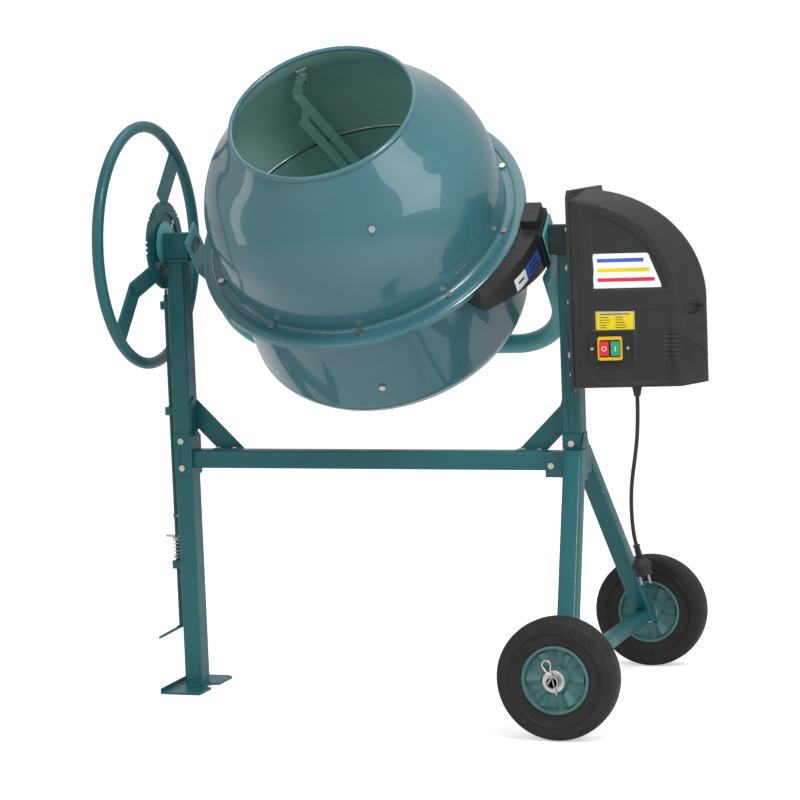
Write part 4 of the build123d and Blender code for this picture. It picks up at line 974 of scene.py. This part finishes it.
def make_frame_welds(chance):
    """Beads at the leg tops, the leg feet, the bearing blocks and the left foot."""
    welds = Piece()

    def add_bead(line, radius, look="frame"):
        welds.add(weld_bead(line, radius, chance), look)
    for side in (-1, 1):
        add_bead([(438, side * 29, 542), (455, side * 29.5, 542.5), (466, side * 29, 542)], 2.2)
        for x in (LEG_FOOT.x - 15, LEG_FOOT.x + 15):
            add_bead([(x, side * 304, 140.5), (x, side * 320, 141.5), (x, side * 336, 140.5)], 2.2)
    for x_low, x_high in (LEFT_BEARING, RIGHT_BEARING):
        for y in (-24.5, 24.5):
            line = [(x, y, BEARING_LOW) for x in (x_low + 6, (x_low + x_high) / 2, x_high - 6)]
            add_bead(line, 1.8, "dark")
    for y in (-25.5, 25.5):
        add_bead([(LEFT_POST_X + x, y, FOOT_TOP) for x in (-17, 0, 17)], 2.6)
    add_bead([(LEFT_POST_X + 20.5, y, FOOT_TOP) for y in (-20, 0, 20)], 2.6)
    welds.finish("frame_weld_beads", "frame")


def make_yoke_welds(chance):
    """Beads at the yoke's flats and round the spindle housing's foot."""
    welds = Piece()
    for side in (-1, 1):
        for y in (-1, 1):
            x = side * (YOKE_FLAT - 3)
            line = [(x, y * 12, -14), (x, y * 17, 0), (x, y * 12, 12)]
            welds.add(weld_bead(line, 1.8, chance), "yoke")
    for side in (-1, 1):
        line = [(-20, side * 38, -306), (0, side * 40, -305), (20, side * 38, -306)]
        welds.add(weld_bead(line, 2.6, chance), "yoke")
    welds.finish("yoke_weld_beads", "yoke", DRUM)


def make_welds():
    """All weld beads, from one seeded source."""
    chance = random.Random(3)
    make_frame_welds(chance)
    make_yoke_welds(chance)


make_upper_shell()
make_lower_shell()
make_wheel_looks()
make_cover()
make_labels()
make_button_marks()
make_plug()
make_disc_hub()
make_guard_stickers()
make_legs()
make_cross_tube()
make_spring()
make_clips()
make_welds()


# ---- Stage ----
def make_floor():
    """Pale floor that curves up into a backdrop behind the machine."""
    rows = [(-7, 0)]
    for k in range(13):
        angle = math.radians(90 * k / 12)
        rows.append((7 + 3 * math.sin(angle), 3 - 3 * math.cos(angle)))
    rows.append((10, 9))
    verts = [(x, y, z) for x in (-14, 14) for y, z in rows]
    count = len(rows)
    faces = [(k, k + 1, count + k + 1, count + k) for k in range(count - 1)]
    mesh = bpy.data.meshes.new("floor")
    mesh.from_pydata(verts, [], faces)
    mesh.shade_smooth()
    floor = bpy.data.objects.new("floor", mesh)
    material, tree, shader = new_material("studio_floor")
    body = mix_colour(tree, spread(tree, noise_node(tree, 1.5, 4), "Fac", 0, 1), "Result",
                      (0.86, 0.86, 0.86), (0.90, 0.90, 0.90))
    tree.links.new(body, shader.inputs["Base Color"])
    shader.inputs["Roughness"].default_value = 0.9
    # Seen directly, the floor and backdrop are brighter, so that they read as clean white.
    seen = add(tree, "ShaderNodeLightPath")
    lift = spread(tree, seen, "Is Camera Ray", 0, 0.5, 0, 1)
    shader.inputs["Emission Color"].default_value = (1, 1, 1, 1)
    link(tree, lift, "Result", shader, "Emission Strength")
    mesh.materials.append(material)
    bpy.context.scene.collection.objects.link(floor)


def area_light(name, place, target, size, power):
    """Rectangular light at a place, turned to a target."""
    data = bpy.data.lights.new(name, "AREA")
    data.shape = "RECTANGLE"
    data.size, data.size_y = size
    data.energy = power
    light = bpy.data.objects.new(name, data)
    light.location = place
    light.rotation_euler = (Vector(target) - Vector(place)).to_track_quat("-Z", "Y").to_euler()
    bpy.context.scene.collection.objects.link(light)


def make_lights():
    """White studio world and five soft lights."""
    world = bpy.data.worlds.new("studio")
    world.use_nodes = True
    world.node_tree.nodes["Background"].inputs["Color"].default_value = (1, 1, 1, 1)
    # Lights at 0.62, and looks white where it is seen directly.
    seen = add(world.node_tree, "ShaderNodeLightPath")
    strength = spread(world.node_tree, seen, "Is Camera Ray", 0.62, 1.2, 0, 1)
    link(world.node_tree, strength, "Result", world.node_tree.nodes["Background"], "Strength")
    bpy.context.scene.world = world
    area_light("window", (2.75, -1.35, 1.75), (0.1, -0.2, 1.1), (1.9, 1.5), 26)
    area_light("window_left", (-2.7, -0.75, 1.05), (-0.2, -0.2, 1.05), (0.5, 1.5), 4.5)
    area_light("fill", (-1.2, -5.0, 3.0), (0, 0, 0.7), (2.4, 2.4), 34)
    area_light("mouth", (1.4, -1.7, 3.2), (0, 0, 1.05), (0.8, 0.8), 52)
    area_light("top", (0, 0.8, 4.0), (0, 0, 0.5), (2.5, 2.5), 30)


CAMERA_TARGET = Vector((TILT.x + 0.058, 0, 0.6429))
CAMERA_AZIMUTH, CAMERA_PITCH, CAMERA_ROLL = 19.3077, 6.1647, -2.2304
CAMERA_DISTANCE = 6.3285
CAMERA_LENS = 131.95


def make_camera():
    """Camera on a long lens, turned round its target by azimuth, pitch and roll."""
    azimuth, pitch, roll = (math.radians(a) for a in (CAMERA_AZIMUTH, CAMERA_PITCH, CAMERA_ROLL))
    level = Vector((math.sin(azimuth), -math.cos(azimuth), 0))
    back = level * math.cos(pitch) + Vector((0, 0, math.sin(pitch)))
    right = Vector((math.cos(azimuth), math.sin(azimuth), 0))
    up = back.cross(right)
    x_axis = right * math.cos(roll) + up * math.sin(roll)
    y_axis = up * math.cos(roll) - right * math.sin(roll)
    data = bpy.data.cameras.new("camera")
    data.lens = CAMERA_LENS
    data.sensor_width = 36
    camera = bpy.data.objects.new("camera", data)
    turn = Matrix((x_axis, y_axis, back)).transposed().to_4x4()
    camera.matrix_world = Matrix.Translation(CAMERA_TARGET + back * CAMERA_DISTANCE) @ turn
    bpy.context.scene.collection.objects.link(camera)
    bpy.context.scene.camera = camera


make_floor()
make_lights()
make_camera()
bpy.context.scene.view_settings.view_transform = "Standard"
